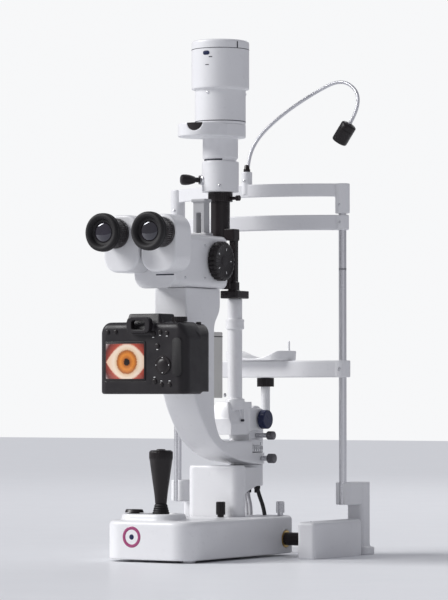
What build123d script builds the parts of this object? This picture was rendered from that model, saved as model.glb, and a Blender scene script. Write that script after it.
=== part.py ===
"""Slit lamp on a cross-slide base: rails, base, joystick, lift, microscope, lamp tower, headrest.

Frame: +X to the examiner's right, +Y from the examiner to the patient, +Z up, z = 0 on the table.
The origin is the foot of the axis that both arms swing about, and the centre of the rail bolts.
"""

import math
import os

from build123d import *

os.makedirs("parts", exist_ok=True)

# Driving dimensions, mm
FIT = 0.05  # radial gap of a running or slip fit
GAP = 0.3  # gap between surfaces that move past each other

RAIL_X = 131.0  # middle of each rail and its cover
RAIL_MID_Y = -8.0
RAIL_LENGTH = 120.0
RAIL_THICK = 3.0
COVER_LENGTH = 126.0
COVER_WIDTH = 26.0
COVER_HEIGHT = 47.0
COVER_WALL = 2.0
RAIL_HOLE_X = 125.0
RAIL_HOLE_Y = 40.0
RAIL_HOLE_R = 2.25

GEAR_MODULE = 1.0
WHEEL_TEETH = 32
WHEEL_PITCH_R = GEAR_MODULE * WHEEL_TEETH / 2
ADDENDUM = 0.8
DEDENDUM = 1.1
TOOTH_HALF = 0.21 * math.pi * GEAR_MODULE  # half the tooth at the pitch line, with backlash
TOOTH_SLOPE = math.tan(math.radians(20))
WHEEL_WIDTH = 8.0
WHEEL_X = 135.0
RACK_LENGTH = 88.0
RACK_MID_Y = -20.0

AXLE_Y = -8.0
AXLE_Z = 22.0
AXLE_R = 5.0
SLEEVE_R = 8.5
SLEEVE_HALF = 124.0

BASE_WIDTH = 132.0
BASE_BACK_Y = 15.0
BASE_FRONT_Y = -245.0
BASE_BOTTOM_Z = 3.0
BASE_TOP_Z = 52.0
BASE_FRONT_CORNER = 28.0
BASE_BACK_CORNER = 12.0
BASE_WALL = 3.0
BASE_LENGTH = BASE_BACK_Y - BASE_FRONT_Y
BASE_MID_Y = (BASE_BACK_Y + BASE_FRONT_Y) / 2

STICK_Y = -208.0
STICK_PIVOT_Z = 30.0
CONSOLE_TOP_Z = 60.0
BOOT_HOLE_R = 19.0

PEDESTAL_Y = -72.5
PEDESTAL_WIDTH = 80.0
PEDESTAL_DEPTH = 25.0
PEDESTAL_BOTTOM_Z = 30.0
HEAD_TOP_Z = 118.0
HEAD_WIDTH = 44.0
POST_X = 24.0
POST_R = 6.0
SPINDLE_R = 4.5

HUB_R = 22.0
PIVOT_R = 9.0
ARM_HUB_TOP_Z = 133.3
SCALE_TOP_Z = 143.0
TILT_Z = 177.0
TILT_PIN_R = 4.0
HINGE_HALF = 16.0

ARM_WIDTH = 48.0
OPTIC_Z = 380.0
SCOPE_FRONT_Y = -92.0
SCOPE_BACK_Y = -217.0
SCOPE_WIDTH = 54.0
DRUM_Y = -117.0
DRUM_R = 20.0
KNOB_R = 25.5
BRACKET_Y = -112.0
CHANNEL_X = 14.0  # half the spacing of the two light channels
EYE_X = 34.0
EYE_Z = 411.0
EYEPIECE_BACK_Y = -295.0
PRISM_FRONT_Y = -223.0
PRISM_BACK_Y = -258.0

CAMERA_BACK_Y = -254.0
CAMERA_FRONT_Y = -206.0
CAMERA_HALF = 64.5
CAMERA_BOTTOM_Z = 210.0
CAMERA_TOP_Z = 300.0
CAMERA_AXIS_Z = 258.0

TOWER_Y = -65.0
COLUMN_X = 10.0
COLUMN_Y = -45.0
COLUMN_R = 9.5

UPRIGHT_X = 127.0
UPRIGHT_Y = 33.0
UPRIGHT_R = 5.0
UPRIGHT_TOP_Z = 483.0
CHIN_POST_Y = 50.0
CHIN_POST_R = 6.0


def save(piece, name):
    """Labels a finished piece and writes it to its own file."""
    piece.part.label = name
    export_step(piece.part, f"parts/{name}.step")


def x_plane(x, y=0.0, z=0.0):
    """A sketch plane facing +X: sketch x runs along +Y and sketch y along +Z."""
    return Plane(origin=(x, y, z), x_dir=(0, 1, 0), z_dir=(1, 0, 0))


def y_plane(y, x=0.0, z=0.0):
    """A sketch plane facing +Y: sketch x runs along -X and sketch y along +Z."""
    return Plane(origin=(x, y, z), x_dir=(-1, 0, 0), z_dir=(0, 1, 0))


def z_plane(z, x=0.0, y=0.0):
    """A sketch plane facing +Z with its origin at x, y."""
    return Plane(origin=(x, y, z), x_dir=(1, 0, 0), z_dir=(0, 0, 1))


def disc(plane, radius, height, bore=0.0):
    """Adds a round disc or ring to the part being built."""
    with BuildSketch(plane) as outline:
        Circle(radius)
        if bore:
            Circle(bore, mode=Mode.SUBTRACT)
    extrude(outline.sketch, amount=height)


def drill(plane, radius, depth):
    """Cuts a round hole from the part being built."""
    with BuildSketch(plane) as outline:
        Circle(radius)
    extrude(outline.sketch, amount=depth, mode=Mode.SUBTRACT)


def block(plane, width, depth, height, corner=0.0):
    """Adds a block with rounded upright corners to the part being built."""
    with BuildSketch(plane) as outline:
        if corner:
            RectangleRounded(width, depth, corner)
        else:
            Rectangle(width, depth)
    extrude(outline.sketch, amount=height)


def cut_block(plane, width, depth, height, corner=0.0):
    """Cuts a block with rounded upright corners from the part being built."""
    with BuildSketch(plane) as outline:
        if corner:
            RectangleRounded(width, depth, corner)
        else:
            Rectangle(width, depth)
    extrude(outline.sketch, amount=height, mode=Mode.SUBTRACT)


def knurl(plane, radius, height, count, groove):
    """Cuts a ring of straight grip grooves into a round knob."""
    with BuildSketch(plane) as outline:
        with PolarLocations(radius, count):
            Circle(groove)
    extrude(outline.sketch, amount=height, mode=Mode.SUBTRACT)


# ---------------------------------------------------------------- rails and covers
def tooth_points(side, pitch_height):
    """One rack tooth, trapezoidal, standing along its local +Y axis."""
    tip = TOOTH_HALF - ADDENDUM * TOOTH_SLOPE
    root = TOOTH_HALF + DEDENDUM * TOOTH_SLOPE
    low = pitch_height - DEDENDUM
    high = pitch_height + ADDENDUM
    return [(side - root, low), (side + root, low), (side + tip, high), (side - tip, high)]


RACK_PITCH_Z = AXLE_Z - WHEEL_PITCH_R
TOOTH_PITCH = math.pi * GEAR_MODULE


def rack_tooth_places():
    """Tooth centres along the rack, with one tooth straight under the axle."""
    half = RACK_LENGTH / 2 - 2
    first = math.ceil((RACK_MID_Y - half - AXLE_Y) / TOOTH_PITCH)
    last = math.floor((RACK_MID_Y + half - AXLE_Y) / TOOTH_PITCH)
    return [AXLE_Y + step * TOOTH_PITCH for step in range(first, last + 1)]


with BuildPart() as rails:
    for side in (-1, 1):
        block(z_plane(0, side * RAIL_X, RAIL_MID_Y), 21, RAIL_LENGTH, RAIL_THICK)
        with BuildSketch(x_plane(side * WHEEL_X - 5)):
            with Locations((RACK_MID_Y, (RACK_PITCH_Z - DEDENDUM) / 2)):
                Rectangle(RACK_LENGTH, RACK_PITCH_Z - DEDENDUM)
            for tooth_y in rack_tooth_places():
                Polygon(*tooth_points(tooth_y, RACK_PITCH_Z), align=None)
        extrude(amount=10)
    with BuildSketch(Plane.XY):
        with GridLocations(2 * RAIL_HOLE_X, 2 * RAIL_HOLE_Y, 2, 2):
            Circle(RAIL_HOLE_R)
    extrude(amount=RAIL_THICK, mode=Mode.SUBTRACT)
save(rails, "rails")

with BuildPart() as rail_covers:
    for side in (-1, 1):
        block(z_plane(0, side * RAIL_X, RAIL_MID_Y), COVER_WIDTH, COVER_LENGTH, COVER_HEIGHT, 5)
    fillet(rail_covers.faces().group_by(Axis.Z)[-1].edges(), 4)
    for side in (-1, 1):
        cut_block(
            z_plane(0, side * RAIL_X, RAIL_MID_Y),
            COVER_WIDTH - 2 * COVER_WALL,
            COVER_LENGTH - 2 * COVER_WALL,
            COVER_HEIGHT - COVER_WALL,
            0.8,
        )
        # The slot that the axle sleeve travels along
        with BuildSketch(x_plane(side * (RAIL_X - COVER_WIDTH / 2) - 4, AXLE_Y - 12.5, AXLE_Z)):
            SlotOverall(88, 20)
        extrude(amount=8, mode=Mode.SUBTRACT)
save(rail_covers, "rail_covers")

# ---------------------------------------------------------------- axle and wheels
with BuildPart() as axle_sleeve:
    disc(x_plane(-SLEEVE_HALF, AXLE_Y, AXLE_Z), SLEEVE_R, 2 * SLEEVE_HALF, AXLE_R + FIT)
save(axle_sleeve, "axle_sleeve")

with BuildPart() as wheel_axle:
    for side in (-1, 1):
        with BuildSketch(x_plane(side * WHEEL_X - WHEEL_WIDTH / 2, AXLE_Y, AXLE_Z)):
            Circle(WHEEL_PITCH_R - DEDENDUM)
            with PolarLocations(0, WHEEL_TEETH, start_angle=90 + 180 / WHEEL_TEETH):
                Polygon(
                    (WHEEL_PITCH_R - DEDENDUM - 0.6, -TOOTH_HALF - DEDENDUM * TOOTH_SLOPE),
                    (WHEEL_PITCH_R - DEDENDUM - 0.6, TOOTH_HALF + DEDENDUM * TOOTH_SLOPE),
                    (WHEEL_PITCH_R + ADDENDUM, TOOTH_HALF - ADDENDUM * TOOTH_SLOPE),
                    (WHEEL_PITCH_R + ADDENDUM, -TOOTH_HALF + ADDENDUM * TOOTH_SLOPE),
                    align=None,
                )
            with PolarLocations(10.2, 6):
                Circle(2.2, mode=Mode.SUBTRACT)
        extrude(amount=WHEEL_WIDTH)
    disc(x_plane(-WHEEL_X - 5.5, AXLE_Y, AXLE_Z), AXLE_R, 2 * WHEEL_X + 11)
save(wheel_axle, "wheel_axle")

# ---------------------------------------------------------------- base
def base_outline(inset):
    """The base's outline seen from above, moved in from its outer wall."""
    with BuildSketch(z_plane(BASE_BOTTOM_Z, 0, BASE_MID_Y)) as outline:
        Rectangle(BASE_WIDTH - 2 * inset, BASE_LENGTH - 2 * inset)
        fillet(outline.vertices().group_by(Axis.Y)[0], BASE_FRONT_CORNER - inset)
        fillet(outline.vertices().group_by(Axis.Y)[-1], BASE_BACK_CORNER - inset)
    return outline.sketch


with BuildPart() as base_housing:
    extrude(base_outline(0), amount=BASE_TOP_Z - BASE_BOTTOM_Z)
    fillet(base_housing.faces().sort_by(Axis.Z)[-1].edges(), 6)
    # The raised console round the joystick
    with BuildSketch(z_plane(BASE_TOP_Z - 2, -8, STICK_Y - 4)):
        RectangleRounded(84, 58, 24)
    extrude(amount=CONSOLE_TOP_Z - BASE_TOP_Z + 2, taper=14)
    fillet(base_housing.faces().sort_by(Axis.Z)[-1].edges(), 2)
    extrude(base_outline(BASE_WALL), amount=BASE_TOP_Z - BASE_BOTTOM_Z - BASE_WALL, mode=Mode.SUBTRACT)
    # The well that the pedestal sinks into
    cut_block(z_plane(BASE_TOP_Z - 5, 0, PEDESTAL_Y), PEDESTAL_WIDTH + 2, PEDESTAL_DEPTH + 2, 10, 11)
    drill(z_plane(BASE_TOP_Z - 5, 0, STICK_Y), BOOT_HOLE_R, 20)
    drill(z_plane(BASE_TOP_Z - 5, -32, STICK_Y - 12), 7.0, 20)
    drill(x_plane(-BASE_WIDTH / 2 - 1, AXLE_Y, AXLE_Z), 11.0, BASE_WIDTH + 2)
    drill(z_plane(BASE_TOP_Z - 5, 20, -97), 2.05, 10)
    drill(z_plane(BASE_TOP_Z - 5, 52, 0), 2.05, 10)
    drill(z_plane(BASE_TOP_Z - 5, 28, 1), 5.5, 10)
    drill(z_plane(BASE_TOP_Z - 5, 4, 2), 9.0, 10)
    cut_block(y_plane(BASE_BACK_Y - 4, -34, 28), 24.2, 18.2, 6, 1)
save(base_housing, "base_housing")

with BuildPart() as base_plate:
    extrude(base_outline(BASE_WALL + 0.2), amount=2.5)
    drill(z_plane(0, 0, STICK_Y), 14.0, 10)
    with BuildSketch(z_plane(0, 0, BASE_MID_Y)):
        with GridLocations(100, 214, 2, 2):
            Circle(2.0)
    extrude(amount=10, mode=Mode.SUBTRACT)
    for side in (-1, 1):
        disc(z_plane(GAP, side * 46, BASE_FRONT_Y + 30), 9.0, BASE_BOTTOM_Z - GAP)
        disc(z_plane(5.5, side * POST_X, PEDESTAL_Y), 9.0, 38.5)
        drill(z_plane(5.5, side * POST_X, PEDESTAL_Y), POST_R + FIT, 40)
        block(z_plane(5.5, side * 15.5, STICK_Y), 4, 10, 28)
        drill(x_plane(side * 15.5 - 3, STICK_Y, STICK_PIVOT_Z), 1.5 + FIT, 6)
save(base_plate, "base_plate")

with BuildPart() as sleeve_bushes:
    for side in (-1, 1):
        disc(x_plane(side * 56 - 10, AXLE_Y, AXLE_Z), 10.95, 20, SLEEVE_R + FIT)
save(sleeve_bushes, "sleeve_bushes")

with BuildPart() as power_inlet:
    block(y_plane(BASE_BACK_Y - 4, -34, 28), 24, 18, 4, 1)
    block(y_plane(BASE_BACK_Y, -34, 28), 28, 22, 1.6, 2)
    cut_block(y_plane(BASE_BACK_Y - 2, -34, 28), 17, 10, 6, 2)
save(power_inlet, "power_inlet")

with BuildPart() as capture_button:
    with BuildSketch(z_plane(50, -32, STICK_Y - 12)):
        Circle(6.7)
    extrude(amount=13)
    with BuildSketch(z_plane(61.2, -32, STICK_Y - 12)):
        Ellipse(13, 9.5)
    extrude(amount=4, taper=20)
    fillet(capture_button.faces().sort_by(Axis.Z)[-1].edges(), 1)
save(capture_button, "capture_button")


def lock_knob(name, x, y, radius, bottom_z, top_z):
    """A knurled clamp knob standing on the base with its screw through the top."""
    with BuildPart() as knob:
        disc(z_plane(BASE_TOP_Z - 8, x, y), 2.0, bottom_z - BASE_TOP_Z + 9)
        disc(z_plane(bottom_z, x, y), radius * 0.7, 3)
        disc(z_plane(bottom_z + 3, x, y), radius, top_z - bottom_z - 3)
        chamfer(knob.faces().sort_by(Axis.Z)[-1].edges(), 0.8)
        knurl(z_plane(bottom_z + 4, x, y), radius + 0.3, top_z - bottom_z - 6, 18, 0.7)
    save(knob, name)


lock_knob("base_lock_knob", 20, -97, 6.0, BASE_TOP_Z + GAP, 72)
lock_knob("lateral_lock_screw", 52, 0, 5.5, BASE_TOP_Z + GAP, 70)

# ---------------------------------------------------------------- joystick
with BuildPart() as joystick_gimbal:
    disc(z_plane(STICK_PIVOT_Z - 3, 0, STICK_Y), 12.0, 6, 9.0)
    disc(x_plane(-15, STICK_Y, STICK_PIVOT_Z), 1.5, 3.5)
    disc(x_plane(11.5, STICK_Y, STICK_PIVOT_Z), 1.5, 3.5)
save(joystick_gimbal, "joystick_gimbal")

with BuildPart() as joystick_shaft:
    disc(z_plane(14, 0, STICK_Y), 3.5, 64)
    disc(y_plane(STICK_Y - 8.7, 0, STICK_PIVOT_Z), 1.5, 17.4)
    with Locations((0, STICK_Y, 14)):
        Sphere(7)
    with BuildSketch(Plane(origin=(0, STICK_Y, 0), x_dir=(1, 0, 0), z_dir=(0, -1, 0))):
        with BuildLine():
            Polyline((0, 48), (12.5, 48), (12.5, 53), (8, 64), (7, 72), (0, 72), close=True)
        make_face()
    revolve(axis=Axis((0, STICK_Y, 0), (0, 0, 1)))
save(joystick_shaft, "joystick_shaft")

with BuildPart() as joystick_grip:
    with BuildSketch(Plane(origin=(0, STICK_Y, 0), x_dir=(1, 0, 0), z_dir=(0, -1, 0))):
        with BuildLine():
            Line((3.6, 72.4), (7.4, 72.4))
            Spline((7.4, 72.4), (8.4, 84), (11.4, 105), (13.9, 124), tangents=((0, 1), (0.2, 1)))
            Line((13.9, 124), (15, 129))
            Line((15, 129), (15, 137))
            Line((15, 137), (12.5, 139.5))
            Line((12.5, 139.5), (6.4, 139.5))
            Line((6.4, 139.5), (6.4, 130))
            Line((6.4, 130), (3.6, 130))
            Line((3.6, 130), (3.6, 72.4))
        make_face()
    revolve(axis=Axis((0, STICK_Y, 0), (0, 0, 1)))
save(joystick_grip, "joystick_grip")

with BuildPart() as joystick_button:
    disc(z_plane(134, 0, STICK_Y), 6.0, 7)
    fillet(joystick_button.faces().sort_by(Axis.Z)[-1].edges(), 2)
save(joystick_button, "joystick_button")

# ---------------------------------------------------------------- lift
with BuildPart() as lift_column:
    block(
        z_plane(PEDESTAL_BOTTOM_Z, 0, PEDESTAL_Y),
        PEDESTAL_WIDTH,
        PEDESTAL_DEPTH,
        HEAD_TOP_Z - PEDESTAL_BOTTOM_Z,
        12,
    )
    fillet(lift_column.faces().sort_by(Axis.Z)[-1].edges(), 3)
    cut_block(z_plane(PEDESTAL_BOTTOM_Z, 0, PEDESTAL_Y), PEDESTAL_WIDTH - 5, PEDESTAL_DEPTH - 5, 85, 9)
    with BuildSketch(x_plane(-HEAD_WIDTH / 2)):
        with BuildLine():
            Polyline(
                (PEDESTAL_Y + PEDESTAL_DEPTH / 2 - 1, 68.5),
                (PEDESTAL_Y + PEDESTAL_DEPTH / 2 - 1, HEAD_TOP_Z - 3),
                (0, HEAD_TOP_Z - 3),
                (0, 92),
                (-30, 84),
                close=True,
            )
        make_face()
    extrude(amount=HEAD_WIDTH)
    disc(z_plane(90), HUB_R, HEAD_TOP_Z - 90)
    drill(z_plane(96), PIVOT_R + FIT, 40)
save(lift_column, "lift_column")

with BuildPart() as pivot_shaft:
    disc(z_plane(96), PIVOT_R, 72)
    chamfer(pivot_shaft.faces().sort_by(Axis.Z)[-1].edges(), 1)
save(pivot_shaft, "pivot_shaft")

with BuildPart() as angle_scale:
    disc(z_plane(ARM_HUB_TOP_Z + GAP), HUB_R - 0.2, SCALE_TOP_Z - ARM_HUB_TOP_Z - 2 * GAP, PIVOT_R + FIT)
save(angle_scale, "angle_scale")

with BuildPart() as lift_posts:
    block(z_plane(74, 0, PEDESTAL_Y), 68, 16, 5)
    disc(z_plane(62, 0, PEDESTAL_Y), 8.0, 12)
    for side in (-1, 1):
        disc(z_plane(22, side * POST_X, PEDESTAL_Y), POST_R, 93)
    drill(z_plane(60, 0, PEDESTAL_Y), SPINDLE_R + FIT, 30)
save(lift_posts, "lift_posts")

with BuildPart() as lift_spindle:
    disc(z_plane(9, 0, PEDESTAL_Y), SPINDLE_R, 85)
    disc(z_plane(6, 0, PEDESTAL_Y), 9.0, 8)
save(lift_spindle, "lift_spindle")

# The two short cables that bend as the lift moves, each with its start, route and bend radii
CABLES = (
    (2.7, [(12, 8, 90), (12, 8, 85), (28, 1, 57), (28, 1, 45)], [9, 9]),
    (6.0, [(-4, 8, 90), (-4, 8, 76), (4, 2, 64), (4, 2, 45)], [14, 14]),
)
with BuildPart() as lift_cables:
    for radius, points, bends in CABLES:
        with BuildLine() as route:
            FilletPolyline(*points, radius=bends)
        with BuildSketch(Plane(origin=route.line @ 0, z_dir=route.line % 0)):
            Circle(radius)
        sweep()
save(lift_cables, "lift_cables")

# ---------------------------------------------------------------- microscope arm
ARM_SEAT_Z = 149.5
ARM_BACK_Y = -118.0
ARM_TOP_Z = 344.7

with BuildPart() as microscope_arm:
    with BuildSketch(x_plane(-ARM_WIDTH / 2)):
        with BuildLine():
            Line((0, HEAD_TOP_Z + GAP), (-34, 121))
            Spline(
                (-34, 121),
                (-60, 125),
                (-88, 133),
                (-124, 152),
                (-147, 177),
                (-165, 206),
                (-180, 260),
                (-186, 310),
                tangents=((-1, 0.1), (0, 1)),
            )
            Line((-186, 310), (-186, ARM_TOP_Z))
            Line((-186, ARM_TOP_Z), (-104, ARM_TOP_Z))
            Line((-104, ARM_TOP_Z), (-104, 326))
            Spline((-104, 326), (-111, 308), (ARM_BACK_Y, 292), tangents=((0, -1), (0, -1)))
            Line((ARM_BACK_Y, 292), (ARM_BACK_Y, 196))
            Spline((ARM_BACK_Y, 196), (-110, 164), (-88, ARM_SEAT_Z), tangents=((0, -1), (1, 0)))
            Line((-88, ARM_SEAT_Z), (-23, ARM_SEAT_Z))
            Line((-23, ARM_SEAT_Z), (-23, ARM_HUB_TOP_Z))
            Line((-23, ARM_HUB_TOP_Z), (0, ARM_HUB_TOP_Z))
            Line((0, ARM_HUB_TOP_Z), (0, HEAD_TOP_Z + GAP))
        make_face()
    extrude(amount=ARM_WIDTH)
    disc(z_plane(HEAD_TOP_Z + GAP), HUB_R + 2, ARM_HUB_TOP_Z - HEAD_TOP_Z - GAP)
    drill(z_plane(HEAD_TOP_Z), PIVOT_R + FIT, 40)
    drill(z_plane(ARM_HUB_TOP_Z), HUB_R + 0.6, 40)
    # The boss that carries the camera adapter
    disc(y_plane(-188, 0, CAMERA_AXIS_Z), 23.0, 40)
    drill(y_plane(-188, 0, CAMERA_AXIS_Z), 15.0, 30)
    drill(x_plane(10, 0, 126), 2.55, 20)
save(microscope_arm, "microscope_arm")

with BuildPart() as relay_box:
    block(z_plane(205, 0, -101), 32, 33.6, 85, 2)
    cut_block(z_plane(208, 0, -101), 28, 29.6, 79, 1)
save(relay_box, "relay_box")

with BuildPart() as microscope_body:
    with BuildSketch(y_plane(SCOPE_BACK_Y, 0, OPTIC_Z - 1)):
        RectangleRounded(SCOPE_WIDTH, 68, 9)
    extrude(amount=SCOPE_FRONT_Y - SCOPE_BACK_Y)
    with BuildSketch(y_plane(SCOPE_BACK_Y + 4, 0, OPTIC_Z)):
        RectangleRounded(SCOPE_WIDTH - 10, 50, 5)
    extrude(amount=70, mode=Mode.SUBTRACT)
    drill(x_plane(-SCOPE_WIDTH, DRUM_Y, OPTIC_Z), DRUM_R + GAP, 2 * SCOPE_WIDTH)
    drill(y_plane(SCOPE_FRONT_Y - 20, 0, OPTIC_Z), 15.0 + FIT, 30)
    with BuildSketch(y_plane(SCOPE_BACK_Y - 1, 0, OPTIC_Z)):
        with Locations((-CHANNEL_X, 0), (CHANNEL_X, 0)):
            Circle(9)
    extrude(amount=90, mode=Mode.SUBTRACT)
    with BuildSketch(y_plane(SCOPE_BACK_Y - 5.5, 0, OPTIC_Z - 2)):
        RectangleRounded(62, 70, 16)
    extrude(amount=5.5)
    with BuildSketch(y_plane(SCOPE_BACK_Y - 8, 0, OPTIC_Z)):
        with Locations((-CHANNEL_X, 0), (CHANNEL_X, 0)):
            Circle(9)
    extrude(amount=20, mode=Mode.SUBTRACT)
save(microscope_body, "microscope_body")

with BuildPart() as microscope_optics:
    disc(y_plane(SCOPE_FRONT_Y - 4, 0, OPTIC_Z), 15.0, 4)
    for side in (-1, 1):
        block(z_plane(OPTIC_Z - 9, side * 10.6, -185), 18, 18, 18)
save(microscope_optics, "microscope_optics")

with BuildPart() as drum_core:
    disc(x_plane(-26.4, DRUM_Y, OPTIC_Z), DRUM_R, 52.8)
    with BuildSketch(y_plane(DRUM_Y - 30, 0, OPTIC_Z)):
        with Locations((-11, 0), (11, 0)):
            Circle(8)
    extrude(amount=60, mode=Mode.SUBTRACT)
    with BuildSketch(z_plane(OPTIC_Z - 30, 0, DRUM_Y)):
        with Locations((-11, 0), (11, 0)):
            Circle(6)
    extrude(amount=60, mode=Mode.SUBTRACT)
save(drum_core, "drum_core")

with BuildPart() as drum_knobs:
    for side in (-1, 1):
        disc(x_plane(side * 33.4 - 5.6, DRUM_Y, OPTIC_Z), KNOB_R, 11.2)
    for side in (-1, 1):
        disc(x_plane(side * 27.1 - 0.7, DRUM_Y, OPTIC_Z), 12.0, 1.4)
        knurl(x_plane(side * 33.4 - 6, DRUM_Y, OPTIC_Z), KNOB_R + 0.4, 12, 24, 1.5)
save(drum_knobs, "drum_knobs")

PRISM_DEPTH = PRISM_FRONT_Y - PRISM_BACK_Y
for side, name in ((-1, "left"), (1, "right")):
    with BuildPart() as prism_housing:
        with BuildSketch(y_plane(PRISM_BACK_Y)):
            with Locations((-side * 27.75, 398)):
                RectangleRounded(52.5, 72, 20)
        extrude(amount=PRISM_DEPTH)
        fillet(prism_housing.faces().sort_by(Axis.Y)[0].edges(), 3)
        with BuildSketch(y_plane(PRISM_BACK_Y + 4)):
            with Locations((-side * 27.75, 398)):
                RectangleRounded(45.5, 65, 16.5)
        extrude(amount=PRISM_DEPTH - 8, mode=Mode.SUBTRACT)
        drill(y_plane(PRISM_FRONT_Y - 10, side * CHANNEL_X, OPTIC_Z), 9.0, 12)
        drill(y_plane(PRISM_BACK_Y - 1, side * EYE_X, EYE_Z), 16.0 + FIT, 10)
    save(prism_housing, f"prism_housing_{name}")

    with BuildPart() as eyepiece:
        disc(y_plane(PRISM_BACK_Y - 26, side * EYE_X, EYE_Z), 19.0, 25.7)
        disc(y_plane(EYEPIECE_BACK_Y, side * EYE_X, EYE_Z), 24.2, 11)
        fillet(eyepiece.faces().sort_by(Axis.Y)[0].edges(), 2.5)
        disc(y_plane(PRISM_BACK_Y - 0.3, side * EYE_X, EYE_Z), 16.0, 6.3)
        drill(y_plane(EYEPIECE_BACK_Y - 1, side * EYE_X, EYE_Z), 13.0, 50)
        drill(y_plane(EYEPIECE_BACK_Y - 1, side * EYE_X, EYE_Z), 16.0, 4)
        knurl(y_plane(PRISM_BACK_Y - 18, side * EYE_X, EYE_Z), 19.4, 12, 30, 0.9)
        disc(y_plane(EYEPIECE_BACK_Y + 7, side * EYE_X, EYE_Z), 12.95, 5)
    save(eyepiece, f"eyepiece_{name}")

with BuildPart() as tonometer_bracket:
    block(z_plane(413, 0, BRACKET_Y), 26, 18, 4, 2)
    block(z_plane(417, 0, BRACKET_Y), 17, 13, 40)
    block(z_plane(457, 0, BRACKET_Y), 22, 17, 4, 2)
    cut_block(y_plane(BRACKET_Y - 15, 0, 430), 7, 26, 30)
save(tonometer_bracket, "tonometer_bracket")

# ---------------------------------------------------------------- camera
CAMERA_HEIGHT = CAMERA_TOP_Z - CAMERA_BOTTOM_Z
CAMERA_MID_Y = (CAMERA_BACK_Y + CAMERA_FRONT_Y) / 2
CAMERA_DEPTH = CAMERA_FRONT_Y - CAMERA_BACK_Y
SCREEN_X = -24.0
SCREEN_Z = 251.0

with BuildPart() as camera_body:
    block(z_plane(CAMERA_BOTTOM_Z, 0, CAMERA_MID_Y), 2 * CAMERA_HALF, CAMERA_DEPTH, CAMERA_HEIGHT, 12)
    fillet(camera_body.faces().sort_by(Axis.Z)[-1].edges(), 9)
    fillet(camera_body.faces().sort_by(Axis.Z)[0].edges(), 3)
    with BuildSketch(z_plane(CAMERA_TOP_Z - 8, 0, CAMERA_MID_Y)):
        RectangleRounded(56, 44, 6)
    extrude(amount=18.5, taper=16)
    # The hand grip on the right, towards the patient
    block(z_plane(CAMERA_BOTTOM_Z + 3, 49.5, CAMERA_FRONT_Y - 3), 30, 36, 85, 10)
    cut_block(z_plane(CAMERA_BOTTOM_Z + 8, 0, CAMERA_MID_Y), 100, CAMERA_DEPTH - 12, 76, 4)
    cut_block(y_plane(CAMERA_BACK_Y - 1, SCREEN_X, SCREEN_Z), 62, 50, 2.6, 2)
    with BuildSketch(y_plane(CAMERA_BACK_Y - 8, 0, 296)):
        RectangleRounded(34, 20, 6)
        RectangleRounded(20, 11, 3, mode=Mode.SUBTRACT)
    extrude(amount=8.5)
    disc(y_plane(CAMERA_FRONT_Y, 0, CAMERA_AXIS_Z), 27.0, 8)
    disc(y_plane(CAMERA_FRONT_Y + 8, 0, CAMERA_AXIS_Z), 21.0, 10)
    drill(y_plane(CAMERA_FRONT_Y - 10, 0, CAMERA_AXIS_Z), 15.0, 30)
    drill(z_plane(CAMERA_TOP_Z - 12, 50, CAMERA_FRONT_Y + 7), 3.6, 20)
    drill(z_plane(CAMERA_TOP_Z - 3, 44, CAMERA_MID_Y - 4), 2.05, 10)
save(camera_body, "camera_body")

with BuildPart() as camera_screen:
    block(y_plane(CAMERA_BACK_Y, SCREEN_X, SCREEN_Z), 61.8, 49.8, 1.5, 2)
save(camera_screen, "camera_screen")

with BuildPart() as camera_dial:
    disc(z_plane(CAMERA_TOP_Z + GAP, 44, CAMERA_MID_Y - 4), 9.5, 6)
    knurl(z_plane(CAMERA_TOP_Z, 44, CAMERA_MID_Y - 4), 9.8, 5, 24, 0.7)
    disc(z_plane(CAMERA_TOP_Z - 2.5, 44, CAMERA_MID_Y - 4), 2.0, 3)
save(camera_dial, "camera_dial")

with BuildPart() as shutter_button:
    disc(z_plane(CAMERA_TOP_Z - 8, 50, CAMERA_FRONT_Y + 7), 3.3, 8.5)
    fillet(shutter_button.faces().sort_by(Axis.Z)[-1].edges(), 0.8)
save(shutter_button, "shutter_button")


# ---------------------------------------------------------------- lamp tower
HINGE_TOP_R = 18.0
CHEEK_WIDTH = 6.0
CHEEK_R = 14.5
CHEEK_X = HINGE_HALF + GAP + CHEEK_WIDTH / 2
PIN_HALF = HINGE_HALF + CHEEK_WIDTH + GAP
WEDGE_BOTTOM_Z = 157.5
LOCK_Z = 156.0
COLUMN_TOP_Z = 334.0
BAR_X = 20.5
LENS_TUBE_R = 12.5
COLLAR_Z = (460.0, 472.0)
LEVER_Z = 464.0
SLIT_Z = (472.3, 512.0)
NECK_Z = (516.0, 543.0)
FILTER_Z = (543.0, 560.0)
FILTER_X = -10.5
FILTER_Y = -88.0
FILTER_R = 30.4
FILTER_CASE_R = FILTER_R + 3.6
FILTER_HOLE_R = 4.0
FILTER_REACH = math.hypot(FILTER_X, FILTER_Y - TOWER_Y)  # from the filter disc's axis to the beam
FILTER_ANGLE = math.degrees(math.atan2(TOWER_Y - FILTER_Y, -FILTER_X))
LAMP_Z = (560.0, 606.0, 669.0)
SCREW_HEAD_LENGTH = 10.0


def thumbscrew(name, x, z, head_r, length):
    """A knurled clamp screw that points to +X."""
    head_x = x + length - SCREW_HEAD_LENGTH
    with BuildPart() as screw:
        disc(x_plane(x - 5, 0, z), 2.5, length)
        disc(x_plane(x + 0.6, 0, z), head_r * 0.55, head_x - x)
        disc(x_plane(head_x, 0, z), head_r, SCREW_HEAD_LENGTH)
        chamfer(screw.faces().sort_by(Axis.X)[-1].edges(), 0.8)
        knurl(x_plane(head_x + 1, 0, z), head_r + 0.3, SCREW_HEAD_LENGTH - 2.5, 20, 0.7)
    save(screw, name)


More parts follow.
